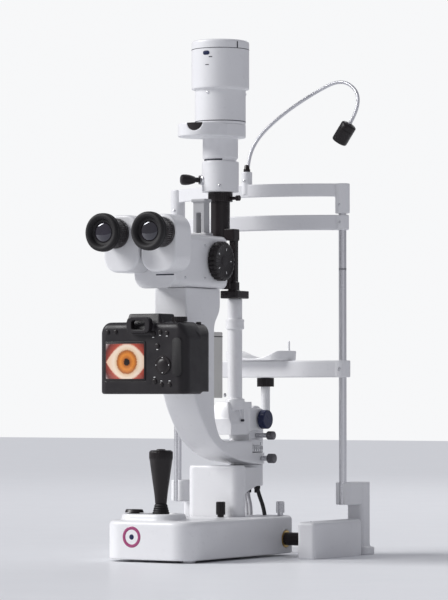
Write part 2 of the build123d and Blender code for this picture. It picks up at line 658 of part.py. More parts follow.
with BuildPart() as illumination_hub:
    disc(z_plane(SCALE_TOP_Z), HUB_R, 8)
    with BuildSketch(x_plane(-HINGE_HALF)):
        with Locations((0, TILT_Z)):
            Circle(HINGE_TOP_R)
        with Locations((0, (SCALE_TOP_Z + 8 + TILT_Z) / 2)):
            Rectangle(2 * HINGE_TOP_R, TILT_Z - SCALE_TOP_Z - 8)
    extrude(amount=2 * HINGE_HALF)
    drill(z_plane(SCALE_TOP_Z), PIVOT_R + FIT, 25.5)
    drill(x_plane(-HINGE_HALF - 1, 0, TILT_Z), TILT_PIN_R + FIT, 2 * HINGE_HALF + 2)
    drill(x_plane(11, 0, LOCK_Z), 2.55, 10)
save(illumination_hub, "illumination_hub")

thumbscrew("illumination_lock_screw", HINGE_HALF, LOCK_Z, 5.6, 27)
thumbscrew("microscope_lock_screw", HUB_R + 2, 126, 6.25, 20)

with BuildPart() as tilt_pin:
    disc(x_plane(-PIN_HALF, 0, TILT_Z), TILT_PIN_R, 2 * PIN_HALF)
    drill(x_plane(HINGE_HALF, 0, TILT_Z), 2.0 + FIT, 10)
save(tilt_pin, "tilt_pin")

with BuildPart() as tower_column:
    for side in (-1, 1):
        with BuildSketch(x_plane(side * CHEEK_X - CHEEK_WIDTH / 2)):
            with Locations((0, TILT_Z)):
                Circle(CHEEK_R)
            with Locations((-14, TILT_Z)):
                Rectangle(28, 2 * CHEEK_R)
        extrude(amount=CHEEK_WIDTH)
    # The wedge that the column stands on
    with BuildSketch(x_plane(-21)):
        Polygon(
            (-20.5, 163),
            (-20.5, 200),
            (-60, 200),
            (-72, 178),
            (-72, WEDGE_BOTTOM_Z),
            (-30, WEDGE_BOTTOM_Z),
            align=None,
        )
    extrude(amount=42)
    with BuildSketch(y_plane(-80)):
        Polygon((-8, 202), (-26, 202), (-26, 160), align=None)
        Polygon((8, 202), (26, 202), (26, 160), align=None)
    extrude(amount=40, mode=Mode.SUBTRACT)
    disc(z_plane(190, COLUMN_X, COLUMN_Y), COLUMN_R + 3, 14)
    disc(z_plane(190, COLUMN_X, COLUMN_Y), COLUMN_R, COLUMN_TOP_Z - 190)
    disc(z_plane(295, COLUMN_X, COLUMN_Y), COLUMN_R + 2, 12)
    drill(x_plane(-30, 0, TILT_Z), TILT_PIN_R + FIT, 60)
save(tower_column, "tower_column")

with BuildPart() as slit_width_knob:
    disc(x_plane(HINGE_HALF + 2, 0, TILT_Z), 2.0, 8)
    disc(x_plane(HINGE_HALF + CHEEK_WIDTH + 2 * GAP, 0, TILT_Z), 8.0, 3)
    disc(x_plane(HINGE_HALF + CHEEK_WIDTH + 3, 0, TILT_Z), 12.5, 9)
    chamfer(slit_width_knob.faces().sort_by(Axis.X)[-1].edges(), 1)
    knurl(x_plane(HINGE_HALF + CHEEK_WIDTH + 4, 0, TILT_Z), 12.8, 6, 30, 0.7)
save(slit_width_knob, "slit_width_knob")

with BuildPart() as mirror_carrier:
    block(z_plane(COLUMN_TOP_Z, (COLUMN_X + BAR_X) / 2 + 1, (COLUMN_Y + TOWER_Y) / 2 - 1), 26, 34, 10, 4)
    block(z_plane(COLUMN_TOP_Z + 10, BAR_X, TOWER_Y), 9, 9, 80, 1)
    block(z_plane(COLUMN_TOP_Z + 10, BAR_X, TOWER_Y), 12, 11, 11, 2)
    block(z_plane(OPTIC_Z - 6, 15, TOWER_Y), 17, 5, 5)
    block(z_plane(COLUMN_TOP_Z + 12, 11, TOWER_Y), 15, 15, 22, 2)
    disc(z_plane(410, 0, TOWER_Y), LENS_TUBE_R, COLLAR_Z[0] - 410 + 12)
    block(z_plane(409, 17, TOWER_Y), 16, 16, 15, 2)
    drill(z_plane(405, 0, TOWER_Y), LENS_TUBE_R - 2.5, 80)
save(mirror_carrier, "mirror_carrier")

with BuildPart() as tower_optics:
    with BuildSketch(Plane(origin=(0, TOWER_Y, OPTIC_Z), x_dir=(1, 0, 0), z_dir=(0, 1, 1))):
        RectangleRounded(13, 20, 2)
    extrude(amount=2.5)
    for height in (416, 455):
        disc(z_plane(height, 0, TOWER_Y), LENS_TUBE_R - 2.55, 4)
    disc(z_plane(522, 0, TOWER_Y), 18.0, 8)
save(tower_optics, "tower_optics")

with BuildPart() as slit_lever:
    disc(z_plane(COLLAR_Z[0], 0, TOWER_Y), 16.0, COLLAR_Z[1] - COLLAR_Z[0], LENS_TUBE_R + FIT)
    knurl(z_plane(COLLAR_Z[0] + 2, 0, TOWER_Y), 16.3, 8, 36, 0.7)
    disc(x_plane(15, TOWER_Y, LEVER_Z), 2.2, 11)
    disc(x_plane(24.5, TOWER_Y, LEVER_Z), 3.6, 4.5)
save(slit_lever, "slit_lever")

with BuildPart() as slit_housing:
    disc(z_plane(SLIT_Z[0], 0, TOWER_Y), 24.0, SLIT_Z[1] - SLIT_Z[0])
    disc(z_plane(SLIT_Z[1], 0, TOWER_Y), 21.0, NECK_Z[0] - SLIT_Z[1])
    disc(z_plane(NECK_Z[0], 0, TOWER_Y), 23.0, NECK_Z[1] - NECK_Z[0])
    disc(z_plane(FILTER_Z[0], 0, TOWER_Y), 33.0, FILTER_Z[1] - FILTER_Z[0])
    disc(z_plane(FILTER_Z[0], FILTER_X, FILTER_Y), FILTER_CASE_R, FILTER_Z[1] - FILTER_Z[0])
    # The open tube for the beam, and the pocket that the filter disc turns in
    drill(z_plane(SLIT_Z[0], 0, TOWER_Y), 10.0, 4)
    drill(z_plane(SLIT_Z[0] + 4, 0, TOWER_Y), 18.2, FILTER_Z[0] - SLIT_Z[0])
    drill(z_plane(FILTER_Z[0] + 4, FILTER_X, FILTER_Y), FILTER_R + GAP, 9)
    drill(z_plane(FILTER_Z[0] + 2, FILTER_X, FILTER_Y), 2.0 + FIT, 14)
    drill(z_plane(FILTER_Z[0] - 2, 0, TOWER_Y), 8.0, 22)
    # The half-round window where a thumb turns the filter disc
    drill(y_plane(FILTER_Y - FILTER_CASE_R - 2, FILTER_X + 5, FILTER_Z[1]), 10.5, 14)
    drill(
        Plane(origin=(0, TOWER_Y, 488), x_dir=(0, 0, 1), z_dir=(-1, -1, 0)),
        3.0 + FIT,
        40,
    )
save(slit_housing, "slit_housing")

with BuildPart() as slit_blades:
    for side in (-1, 1):
        block(z_plane(500, side * 7.6, TOWER_Y), 14, 20, 1.2)
save(slit_blades, "slit_blades")

with BuildPart() as slit_knob:
    with BuildSketch(Plane(origin=(0, TOWER_Y, 488), x_dir=(0, 0, 1), z_dir=(1, -1, 0))):
        with BuildLine():
            Polyline((0, 19), (3, 19), (3, 34), (4.4, 34), (7, 47), (7, 52), (6, 53), (0, 53), close=True)
        make_face()
    revolve(axis=Axis((0, TOWER_Y, 488), (-1, -1, 0)))
save(slit_knob, "slit_knob")

with BuildPart() as filter_disc:
    disc(z_plane(FILTER_Z[0] + 4.6, FILTER_X, FILTER_Y), FILTER_R, 7.8)
    knurl(z_plane(FILTER_Z[0] + 4, FILTER_X, FILTER_Y), FILTER_R + 0.4, 10, 60, 0.8)
    with BuildSketch(z_plane(FILTER_Z[0], FILTER_X, FILTER_Y)):
        with PolarLocations(FILTER_REACH, 5, start_angle=FILTER_ANGLE):
            Circle(FILTER_HOLE_R)
    extrude(amount=20, mode=Mode.SUBTRACT)
    disc(z_plane(FILTER_Z[0] + 2.5, FILTER_X, FILTER_Y), 2.0, 12)
save(filter_disc, "filter_disc")

with BuildPart() as lamp_housing:
    disc(z_plane(LAMP_Z[0], 0, TOWER_Y), 33.0, LAMP_Z[1] - LAMP_Z[0])
    disc(z_plane(LAMP_Z[1], 0, TOWER_Y), 37.5, LAMP_Z[2] - LAMP_Z[1])
    fillet(lamp_housing.faces().sort_by(Axis.Z)[-1].edges(), 3)
    drill(z_plane(LAMP_Z[0], 0, TOWER_Y), 29.5, LAMP_Z[1] - LAMP_Z[0] + 4)
    drill(z_plane(LAMP_Z[1] + 3, 0, TOWER_Y), 34.5, LAMP_Z[2] - LAMP_Z[1] - 6)
    for level in range(3):
        with BuildSketch(y_plane(TOWER_Y + 25, 0, 626 + 9 * level)):
            SlotOverall(30, 3.2)
        extrude(amount=20, mode=Mode.SUBTRACT)
save(lamp_housing, "lamp_housing")

with BuildPart() as lamp_module:
    disc(z_plane(LAMP_Z[0], 0, TOWER_Y), 29.4, 3, 9.0)
    disc(z_plane(LAMP_Z[0] + 3, 0, TOWER_Y), 22.0, 6)
    disc(z_plane(LAMP_Z[0] + 9, 0, TOWER_Y), 12.0, 88)
    for level in range(9):
        disc(z_plane(LAMP_Z[0] + 16 + 9 * level, 0, TOWER_Y), 26.0, 3)
save(lamp_module, "lamp_module")

# ---------------------------------------------------------------- headrest
BEAM_Z = (232.0, 254.0)
BAND_Z = (424.0, 444.0)
BOW_Z = (468.0, 485.0)
BOW_SLEEVE_Z = 446.0
NECK_X = 6.0
NECK_Y = -8.0
NECK_FOOT_Z = BOW_Z[0] + 8.5


def bow(low, high, front_y, thick, corner_r, corner_low):
    """Adds a curved strip between the uprights, bulging to the examiner, with a sleeve at each end."""
    near_y = UPRIGHT_Y - thick / 2
    far_y = UPRIGHT_Y + thick / 2
    with BuildSketch(z_plane(low)) as strip:
        with BuildLine():
            ThreePointArc((-UPRIGHT_X, near_y), (0, front_y), (UPRIGHT_X, near_y))
            Line((UPRIGHT_X, near_y), (UPRIGHT_X, far_y))
            ThreePointArc((UPRIGHT_X, far_y), (0, front_y + thick), (-UPRIGHT_X, far_y))
            Line((-UPRIGHT_X, far_y), (-UPRIGHT_X, near_y))
        make_face()
    extrude(strip.sketch, amount=high - low)
    for side in (-1, 1):
        disc(z_plane(corner_low, side * UPRIGHT_X, UPRIGHT_Y), corner_r, high - corner_low)
    for side in (-1, 1):
        bottom = z_plane(corner_low - 1, side * UPRIGHT_X, UPRIGHT_Y)
        drill(bottom, UPRIGHT_R + FIT, UPRIGHT_TOP_Z - corner_low + 1)


with BuildPart() as headrest_foot:
    block(z_plane(0, 0, 76), 290, 28, 10, 6)
    for side in (-1, 1):
        block(z_plane(0, side * UPRIGHT_X, 76), 24, 24, 95, 5)
        block(z_plane(66, side * UPRIGHT_X, 56), 22, 56, 29, 8)
        drill(z_plane(65, side * UPRIGHT_X, UPRIGHT_Y), UPRIGHT_R + FIT, 40)
    with BuildSketch(z_plane(0, 0, 76)):
        with GridLocations(180, 20, 2, 1):
            Circle(3.25)
    extrude(amount=20, mode=Mode.SUBTRACT)
save(headrest_foot, "headrest_foot")

with BuildPart() as uprights:
    for side in (-1, 1):
        disc(z_plane(66, side * UPRIGHT_X, UPRIGHT_Y), UPRIGHT_R, UPRIGHT_TOP_Z - 66)
save(uprights, "uprights")

with BuildPart() as top_bow:
    bow(BOW_Z[0], BOW_Z[1], -14, 5, 9.5, BOW_SLEEVE_Z)
    disc(z_plane(BOW_Z[0] + 4, NECK_X, NECK_Y), 7.0, 30)
    drill(z_plane(BOW_Z[0] + 8, NECK_X, NECK_Y), 3.0 + FIT, 30)
save(top_bow, "top_bow")

with BuildPart() as forehead_band:
    bow(BAND_Z[0], BAND_Z[1], -12, 7, 8.5, BAND_Z[0])
save(forehead_band, "forehead_band")

with BuildPart() as chin_beam:
    block(z_plane(BEAM_Z[0], 0, UPRIGHT_Y), 2 * UPRIGHT_X, 15, BEAM_Z[1] - BEAM_Z[0])
    for side in (-1, 1):
        disc(z_plane(BEAM_Z[0], side * UPRIGHT_X, UPRIGHT_Y), 10.0, BEAM_Z[1] - BEAM_Z[0])
        drill(z_plane(BEAM_Z[0] - 1, side * UPRIGHT_X, UPRIGHT_Y), UPRIGHT_R + FIT, 40)
    disc(z_plane(BEAM_Z[0], 0, CHIN_POST_Y), 12.5, BEAM_Z[1] - BEAM_Z[0])
    drill(z_plane(BEAM_Z[0] - 1, 0, CHIN_POST_Y), CHIN_POST_R + FIT, 40)
save(chin_beam, "chin_beam")

with BuildPart() as chin_cup:
    with BuildSketch(z_plane(BEAM_Z[1] + GAP, 0, 38)):
        RectangleRounded(96, 50, 22)
    extrude(amount=13, taper=-4)
    fillet(chin_cup.faces().sort_by(Axis.Z)[-1].edges(), 1.5)
    drill(y_plane(0, 0, BEAM_Z[1] + 3 + 75), 75.0, 80)
    disc(z_plane(178, 0, CHIN_POST_Y), CHIN_POST_R, BEAM_Z[1] + 4 - 178)
    for side in (-1, 1):
        disc(z_plane(BEAM_Z[1] + 6, side * 43, 38), 1.5, 20)
save(chin_cup, "chin_cup")

with BuildPart() as chin_nut:
    disc(z_plane(220, 0, CHIN_POST_Y), 11.3, BEAM_Z[0] - 220 - GAP, CHIN_POST_R + FIT)
    knurl(z_plane(221, 0, CHIN_POST_Y), 11.6, 9, 24, 0.8)
save(chin_nut, "chin_nut")

GOOSENECK = [
    (NECK_X, NECK_Y, NECK_FOOT_Z),
    (NECK_X, NECK_Y, 512),
    (15, 0, 545),
    (47, 10, 576),
    (96, 16, 605),
    (134, 18, 620),
    (158, 20, 604),
    (157, 20, 578),
    (145, 20, 561),
]
with BuildPart() as gooseneck:
    with BuildLine() as bend_line:
        FilletPolyline(*GOOSENECK, radius=[60, 60, 100, 100, 25, 15, 25])
    with BuildSketch(Plane(origin=bend_line.line @ 0, z_dir=bend_line.line % 0)):
        Circle(2.4)
    sweep()
    disc(z_plane(NECK_FOOT_Z, NECK_X, NECK_Y), 3.0, 24)
save(gooseneck, "gooseneck")

HEAD_AXIS = (GOOSENECK[-1][0] - GOOSENECK[-2][0], 0, GOOSENECK[-1][2] - GOOSENECK[-2][2])
with BuildPart() as fixation_head:
    with BuildSketch(Plane(origin=GOOSENECK[-1], z_dir=(HEAD_AXIS[0], 0, HEAD_AXIS[2]))):
        Circle(10.5)
    extrude(amount=28)
    fillet(fixation_head.edges().filter_by(GeomType.CIRCLE), 2)
save(fixation_head, "fixation_head")
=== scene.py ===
import math

import bmesh
import bpy
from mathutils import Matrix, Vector


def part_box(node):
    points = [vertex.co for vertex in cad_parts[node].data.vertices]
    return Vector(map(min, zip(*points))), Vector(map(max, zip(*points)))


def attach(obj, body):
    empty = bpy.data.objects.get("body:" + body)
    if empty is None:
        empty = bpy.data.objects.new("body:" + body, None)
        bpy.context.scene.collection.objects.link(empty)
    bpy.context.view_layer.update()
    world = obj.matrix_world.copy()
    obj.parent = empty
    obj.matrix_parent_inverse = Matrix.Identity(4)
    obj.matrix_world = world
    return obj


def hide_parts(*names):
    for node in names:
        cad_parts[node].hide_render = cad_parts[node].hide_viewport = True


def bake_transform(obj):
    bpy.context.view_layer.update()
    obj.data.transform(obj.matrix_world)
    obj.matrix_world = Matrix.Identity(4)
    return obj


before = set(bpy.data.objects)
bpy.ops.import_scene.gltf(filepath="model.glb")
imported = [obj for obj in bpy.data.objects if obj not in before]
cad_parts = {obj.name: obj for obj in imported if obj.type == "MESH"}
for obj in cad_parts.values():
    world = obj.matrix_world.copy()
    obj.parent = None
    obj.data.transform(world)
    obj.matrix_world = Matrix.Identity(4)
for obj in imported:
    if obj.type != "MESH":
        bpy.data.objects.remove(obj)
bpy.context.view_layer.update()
MM = 0.001
X_AXIS = Vector((1, 0, 0))
Y_AXIS = Vector((0, 1, 0))
Z_AXIS = Vector((0, 0, 1))


# ------------------------------------------------------------------ places read from the frame
def at(node, x=0.5, y=0.5, z=0.5, shift=(0, 0, 0)):
    """A point in mm: shares of a CAD node's box from its low to its high corner, then a shift."""
    low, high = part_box(node)
    return Vector(low[i] / MM + (high[i] - low[i]) / MM * part + shift[i] for i, part in enumerate((x, y, z)))


def size(node):
    """A CAD node's box size in mm."""
    low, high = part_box(node)
    return (Vector(high) - Vector(low)) / MM


# ------------------------------------------------------------------ materials
class Shade:
    """Builds one procedural material from noise layers and edge wear."""

    def __init__(self, name, colour, rough, metal=0.0):
        self.material = bpy.data.materials.new(name)
        self.material.use_nodes = True
        self.tree = self.material.node_tree
        self.shader = self.tree.nodes["Principled BSDF"]
        self.shader.inputs["Base Color"].default_value = (*colour, 1)
        self.shader.inputs["Roughness"].default_value = rough
        self.shader.inputs["Metallic"].default_value = metal
        self.colour = colour
        self.rough = rough
        self.place = self.node("ShaderNodeTexCoord").outputs["Object"]
        self.paint = None
        self.height = None

    def node(self, kind, **values):
        made = self.tree.nodes.new(kind)
        for key, value in values.items():
            setattr(made, key, value)
        return made

    def link(self, start, end):
        self.tree.links.new(start, end)

    def stretched(self, stretch):
        mapping = self.node("ShaderNodeMapping")
        mapping.inputs["Scale"].default_value = stretch
        self.link(self.place, mapping.inputs["Vector"])
        return mapping.outputs["Vector"]

    def noise(self, scale, detail=4.0, stretch=None):
        texture = self.node("ShaderNodeTexNoise")
        texture.inputs["Scale"].default_value = scale
        texture.inputs["Detail"].default_value = detail
        self.link(self.stretched(stretch) if stretch else self.place, texture.inputs["Vector"])
        return texture.outputs["Fac"]

    def cells(self, scale):
        texture = self.node("ShaderNodeTexVoronoi")
        texture.inputs["Scale"].default_value = scale
        self.link(self.place, texture.inputs["Vector"])
        return texture.outputs["Distance"]

    def ranged(self, value, low_in, high_in, low_out, high_out):
        span = self.node("ShaderNodeMapRange")
        ends = {"From Min": low_in, "From Max": high_in, "To Min": low_out, "To Max": high_out}
        for key, number in ends.items():
            span.inputs[key].default_value = number
        self.link(value, span.inputs["Value"])
        return span.outputs["Result"]

    def tint(self, mask, colour):
        """Mixes a second colour into the paint where the mask is high."""
        mix = self.node("ShaderNodeMix", data_type="RGBA")
        if self.paint is None:
            mix.inputs["A"].default_value = (*self.colour, 1)
        else:
            self.link(self.paint, mix.inputs["A"])
        mix.inputs["B"].default_value = (*colour, 1)
        self.link(mask, mix.inputs["Factor"])
        self.paint = mix.outputs["Result"]
        self.link(self.paint, self.shader.inputs["Base Color"])
        return self

    def mottle(self, scale, colour, amount=1.0):
        """Soft uneven colour."""
        return self.tint(self.ranged(self.noise(scale), 0.35, 0.75, 0.0, amount), colour)

    def wear(self, colour, start=0.53, amount=0.6):
        """Lighter or darker convex edges."""
        edge = self.node("ShaderNodeNewGeometry").outputs["Pointiness"]
        return self.tint(self.ranged(edge, start, start + 0.06, 0.0, amount), colour)

    def uneven(self, scale, spread, stretch=None):
        """Varies the roughness round its middle value."""
        value = self.ranged(self.noise(scale, 5, stretch), 0.3, 0.7, self.rough - spread, self.rough + spread)
        self.link(value, self.shader.inputs["Roughness"])
        return self

    def bump(self, height, distance, strength=1.0):
        """Adds one layer of relief."""
        relief = self.node("ShaderNodeBump")
        relief.inputs["Strength"].default_value = strength
        relief.inputs["Distance"].default_value = distance
        self.link(height, relief.inputs["Height"])
        if self.height is not None:
            self.link(self.height, relief.inputs["Normal"])
        self.height = relief.outputs["Normal"]
        self.link(self.height, self.shader.inputs["Normal"])
        return self

    def coat(self, weight, rough):
        self.shader.inputs["Coat Weight"].default_value = weight
        self.shader.inputs["Coat Roughness"].default_value = rough
        return self

    def done(self):
        return self.material


def enamel(name, colour, shade, rough=0.36):
    """Sprayed satin enamel: orange peel, faint mottling, handling marks on the edges."""
    skin = Shade(name, colour, rough)
    skin.mottle(9, shade, 0.55)
    skin.tint(skin.ranged(skin.noise(140, 2), 0.62, 0.8, 0.0, 0.12), tuple(0.55 * c for c in shade))
    skin.wear(tuple(min(1.0, 1.12 * c) for c in colour), 0.54, 0.5)
    skin.uneven(26, 0.06)
    skin.bump(skin.noise(900, 2), 0.00006, 0.35)
    return skin.coat(0.25, 0.22).done()


def plastic(name, colour, rough, grain=2600, depth=0.00005):
    """Moulded black plastic: spark-eroded grain, faint lighter mottling, polished edges."""
    skin = Shade(name, colour, rough)
    skin.mottle(40, tuple(1.3 * c + 0.003 for c in colour), 0.6)
    skin.wear(tuple(2.2 * c + 0.012 for c in colour), 0.55, 0.35)
    skin.uneven(60, 0.08)
    skin.shader.inputs["Specular IOR Level"].default_value = 0.35
    skin.bump(skin.cells(grain), depth, 0.5)
    skin.bump(skin.noise(grain * 0.4, 3), depth, 0.4)
    return skin.done()


def turned(name, colour, rough, stretch=(1, 1, 60), scale=240):
    """Machined metal with fine tool marks across one axis."""
    skin = Shade(name, colour, rough, 1.0)
    skin.mottle(30, tuple(0.8 * c for c in colour), 0.6)
    skin.wear(tuple(min(1.0, 1.25 * c) for c in colour), 0.53, 0.6)
    skin.uneven(scale, 0.08, stretch)
    skin.bump(skin.noise(scale, 2, stretch), 0.00004, 0.4)
    return skin.done()


def glass(name, tint, coating):
    """Coated lens glass: a faint coloured sheen and dark depth."""
    skin = Shade(name, tint, 0.04)
    skin.mottle(18, coating, 0.7)
    skin.uneven(30, 0.02)
    skin.shader.inputs["IOR"].default_value = 1.55
    skin.shader.inputs["Specular Tint"].default_value = (0.8, 0.85, 1.0, 1)
    return skin.coat(1.0, 0.02).done()


ALMOND_HALF = 0.4  # half the eye's opening at its middle, in picture widths
ALMOND_CURVE = 1.35  # how fast the lids close towards the eye's corners


def eye_picture(name, centre, width):
    """The camera's live view: an invented amber iris in a pale almond of an eye, red-brown round it."""
    skin = Shade(name, (0.02, 0.01, 0.01), 0.2)
    shift = skin.node("ShaderNodeMapping")
    shift.inputs["Location"].default_value = tuple(-v for v in centre)
    skin.link(skin.place, shift.inputs["Vector"])
    flat = skin.node("ShaderNodeVectorMath", operation="MULTIPLY")
    flat.inputs[1].default_value = (1 / width, 0, 1 / width)
    skin.link(shift.outputs["Vector"], flat.inputs[0])
    length = skin.node("ShaderNodeVectorMath", operation="LENGTH")
    skin.link(flat.outputs["Vector"], length.inputs[0])
    fibre = skin.noise(700, 6, (1, 1, 1))

    def maths(operation, first, second, third=None):
        step = skin.node("ShaderNodeMath", operation=operation)
        for socket, value in zip(step.inputs, (first, second, third)):
            if isinstance(value, (int, float)):
                socket.default_value = value
            elif value is not None:
                skin.link(value, socket)
        return step.outputs["Value"]

    def ramped(value, stops):
        ramp = skin.node("ShaderNodeValToRGB")
        for index, (place, colour) in enumerate(stops):
            stop = ramp.color_ramp.elements[0] if index == 0 else ramp.color_ramp.elements.new(place)
            stop.position = place
            stop.color = (*colour, 1)
        skin.link(value, ramp.inputs["Fac"])
        return ramp.outputs["Color"]

    radial = maths("MULTIPLY_ADD", fibre, 0.06, length.outputs["Value"])
    eye = ramped(radial, (
        (0.0, (0.01, 0.006, 0.005)),
        (0.1, (0.012, 0.006, 0.004)),
        (0.12, (0.3, 0.09, 0.015)),
        (0.2, (0.5, 0.17, 0.025)),
        (0.285, (0.24, 0.07, 0.015)),
        (0.31, (0.5, 0.36, 0.24)),
        (0.38, (0.56, 0.46, 0.37)),
        (0.6, (0.5, 0.3, 0.2)),
    ))
    split = skin.node("ShaderNodeSeparateXYZ")
    skin.link(flat.outputs["Vector"], split.inputs["Vector"])
    across = maths("MULTIPLY", split.outputs["X"], split.outputs["X"])
    lid = maths("MULTIPLY_ADD", across, ALMOND_CURVE, -ALMOND_HALF)
    open_eye = maths("ABSOLUTE", split.outputs["Z"], 0.0)
    edge = maths("ADD", maths("ADD", open_eye, lid), maths("MULTIPLY", fibre, 0.05))
    lids = ramped(radial, ((0.0, (0.5, 0.14, 0.05)), (0.45, (0.3, 0.05, 0.03)), (0.62, (0.07, 0.008, 0.006))))
    mix = skin.node("ShaderNodeMix", data_type="RGBA")
    skin.link(skin.ranged(edge, 0.0, 0.045, 0.0, 1.0), mix.inputs["Factor"])
    skin.link(eye, mix.inputs["A"])
    skin.link(lids, mix.inputs["B"])
    skin.link(mix.outputs["Result"], skin.shader.inputs["Base Color"])
    skin.link(mix.outputs["Result"], skin.shader.inputs["Emission Color"])
    skin.shader.inputs["Emission Strength"].default_value = 0.55
    return skin.coat(0.4, 0.1).done()


WHITE = (0.8, 0.8, 0.815)
WHITE_SHADE = (0.7, 0.7, 0.725)
MATERIALS = {
    "white": enamel("white_enamel", WHITE, WHITE_SHADE),
    # grey: the white enamel darkened into a painted shade, for the tonometer bracket's shaded side
    "grey": enamel("white_enamel_painted_shade", (0.42, 0.42, 0.43), (0.33, 0.33, 0.345), 0.42),
    "pearl": enamel("pearl_plastic", (0.82, 0.82, 0.83), (0.74, 0.74, 0.76), 0.3),
    "black": plastic("black_plastic", (0.011, 0.008, 0.009), 0.36),
    "anodised": plastic("black_anodised", (0.012, 0.008, 0.009), 0.3, 3600, 0.00002),
    "dark_steel": turned("dark_steel", (0.16, 0.155, 0.165), 0.34, (60, 1, 1)),
    "camera": plastic("camera_shell", (0.012, 0.010, 0.012), 0.4, 1800, 0.0001),
    "rubber": plastic("grip_rubber", (0.010, 0.009, 0.010), 0.6, 900, 0.00025),
    "steel": turned("ground_steel", (0.62, 0.62, 0.64), 0.28),
    "bright": turned("knurled_steel", (0.58, 0.58, 0.6), 0.24, (60, 1, 1)),
    "brass": turned("turned_brass", (0.72, 0.52, 0.22), 0.3),
    "blue": plastic("knob_blue", (0.012, 0.018, 0.06), 0.3, 3000),
    "silicone": enamel("silicone_pad", (0.76, 0.76, 0.78), (0.7, 0.7, 0.73), 0.5),
    "relay": enamel("relay_cover", (0.6, 0.59, 0.56), (0.52, 0.51, 0.49), 0.4),
    "cable": enamel("cable_sheath", (0.56, 0.56, 0.58), (0.45, 0.45, 0.48), 0.5),
    "cable_black": plastic("cable_black", (0.02, 0.02, 0.022), 0.5, 1200),
    "neck": turned("gooseneck_metal", (0.66, 0.66, 0.69), 0.34),
    "lens": glass("coated_lens", (0.014, 0.012, 0.014), (0.03, 0.022, 0.04)),
    "mauve": enamel("mauve_enamel", (0.34, 0.05, 0.16), (0.26, 0.03, 0.12), 0.3),
    "ink": plastic("scale_ink", (0.02, 0.02, 0.03), 0.5),
    "chalk": enamel("white_marks", (0.78, 0.78, 0.78), (0.66, 0.66, 0.66), 0.5),
}

NODE_MATERIALS = {
    "white": "rail_covers top_bow chin_beam angle_scale slit_housing lamp_housing illumination_hub",
    # the tonometer bracket takes the grey painted shade
    "grey": "tonometer_bracket",
    "relay": "relay_box",
    "silicone": "forehead_band",
    "pearl": "chin_cup",
    "steel": "rails uprights base_plate pivot_shaft lift_posts lift_spindle tilt_pin slit_blades",
    "bright": "wheel_axle lateral_lock_screw",
    "dark_steel": "microscope_lock_screw illumination_lock_screw",
    "anodised": "axle_sleeve mirror_carrier lamp_module slit_lever",
    "black": "power_inlet base_lock_knob capture_button joystick_button slit_knob filter_disc chin_nut "
    "camera_dial shutter_button fixation_head drum_knobs joystick_shaft",
    "blue": "slit_width_knob",
    "brass": "sleeve_bushes joystick_gimbal drum_core",
    "lens": "microscope_optics tower_optics",
}
for material, names in NODE_MATERIALS.items():
    for node in names.split():
        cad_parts[node].data.materials.clear()
        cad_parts[node].data.materials.append(MATERIALS[material])


# ------------------------------------------------------------------ mesh tools
def publish(bm, name, material, body, replaces=()):
    """Turns a bmesh into a piece that rides on a body."""
    mesh = bpy.data.meshes.new(name)
    bmesh.ops.recalc_face_normals(bm, faces=bm.faces)
    bm.to_mesh(mesh)
    bm.free()
    piece = bpy.data.objects.new(name, mesh)
    bpy.context.scene.collection.objects.link(piece)
    mesh.materials.clear()
    mesh.materials.append(MATERIALS[material] if isinstance(material, str) else material)
    mesh.set_sharp_from_angle(angle=math.radians(38))
    for face in mesh.polygons:
        face.use_smooth = True
    if body:
        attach(piece, body)
    if replaces:
        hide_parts(*replaces)
    return piece


def apply_modifiers(piece):
    """Bakes a piece's modifiers into its mesh."""
    bpy.context.view_layer.update()
    graph = bpy.context.evaluated_depsgraph_get()
    baked = bpy.data.meshes.new_from_object(piece.evaluated_get(graph))
    piece.modifiers.clear()
    piece.data = baked


def cast(node, material, body, voxel=1.2, rounds=5, keep=0.35):
    """Stands in for a CAD node with its own mesh, its edges and inner corners softened."""
    bm = bmesh.new()
    bm.from_mesh(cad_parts[node].data)
    bmesh.ops.remove_doubles(bm, verts=bm.verts, dist=0.00002)
    piece = publish(bm, f"{node}_cast", material, body, (node,))
    remesh = piece.modifiers.new("remesh", "REMESH")
    remesh.mode = "VOXEL"
    remesh.voxel_size = voxel * MM
    smooth = piece.modifiers.new("smooth", "SMOOTH")
    smooth.factor = 0.5
    smooth.iterations = rounds
    thin = piece.modifiers.new("thin", "DECIMATE")
    thin.ratio = keep
    apply_modifiers(piece)
    for face in piece.data.polygons:
        face.use_smooth = True
    piece.data.set_sharp_from_angle(angle=math.radians(60))
    return piece


def round_shoulder(piece, start_x, end_x, low_z, high_z, drop):
    """Slopes the top of a piece down towards one side, most at end_x and at high_z."""
    for vertex in piece.data.vertices:
        across = (vertex.co.x / MM - start_x) / (end_x - start_x)
        raised = (vertex.co.z / MM - low_z) / (high_z - low_z)
        if across > 0 and raised > 0:
            vertex.co.z -= drop * across ** 2 * raised * MM


def frame_of(axis):
    """Two unit vectors across an axis."""
    axis = Vector(axis).normalized()
    side = axis.cross(Z_AXIS if abs(axis.z) < 0.9 else X_AXIS).normalized()
    return axis, side, axis.cross(side)


def turn_profile(bm, centre, axis, profile, steps=64, ripple=None):
    """Revolves (along, radius) points round an axis. ripple(angle, along) scales the radius."""
    axis, side, up = frame_of(axis)
    rings = []
    for along, radius in profile:
        ring = []
        for index in range(steps):
            angle = 2 * math.pi * index / steps
            reach = radius * (ripple(angle, along) if ripple else 1.0)
            out = side * math.cos(angle) + up * math.sin(angle)
            ring.append(bm.verts.new((Vector(centre) + axis * along + out * reach) * MM))
        rings.append(ring)
    for lower, upper in zip(rings, rings[1:]):
        for index in range(steps):
            after = (index + 1) % steps
            bm.faces.new((lower[index], lower[after], upper[after], upper[index]))
    bm.faces.new(list(reversed(rings[0])))
    bm.faces.new(rings[-1])
    return bm


def lathe(name, centre, axis, profile, material, body, replaces=(), steps=64, ripple=None):
    """One turned piece."""
    bm = turn_profile(bmesh.new(), centre, axis, profile, steps, ripple)
    return publish(bm, name, material, body, replaces)


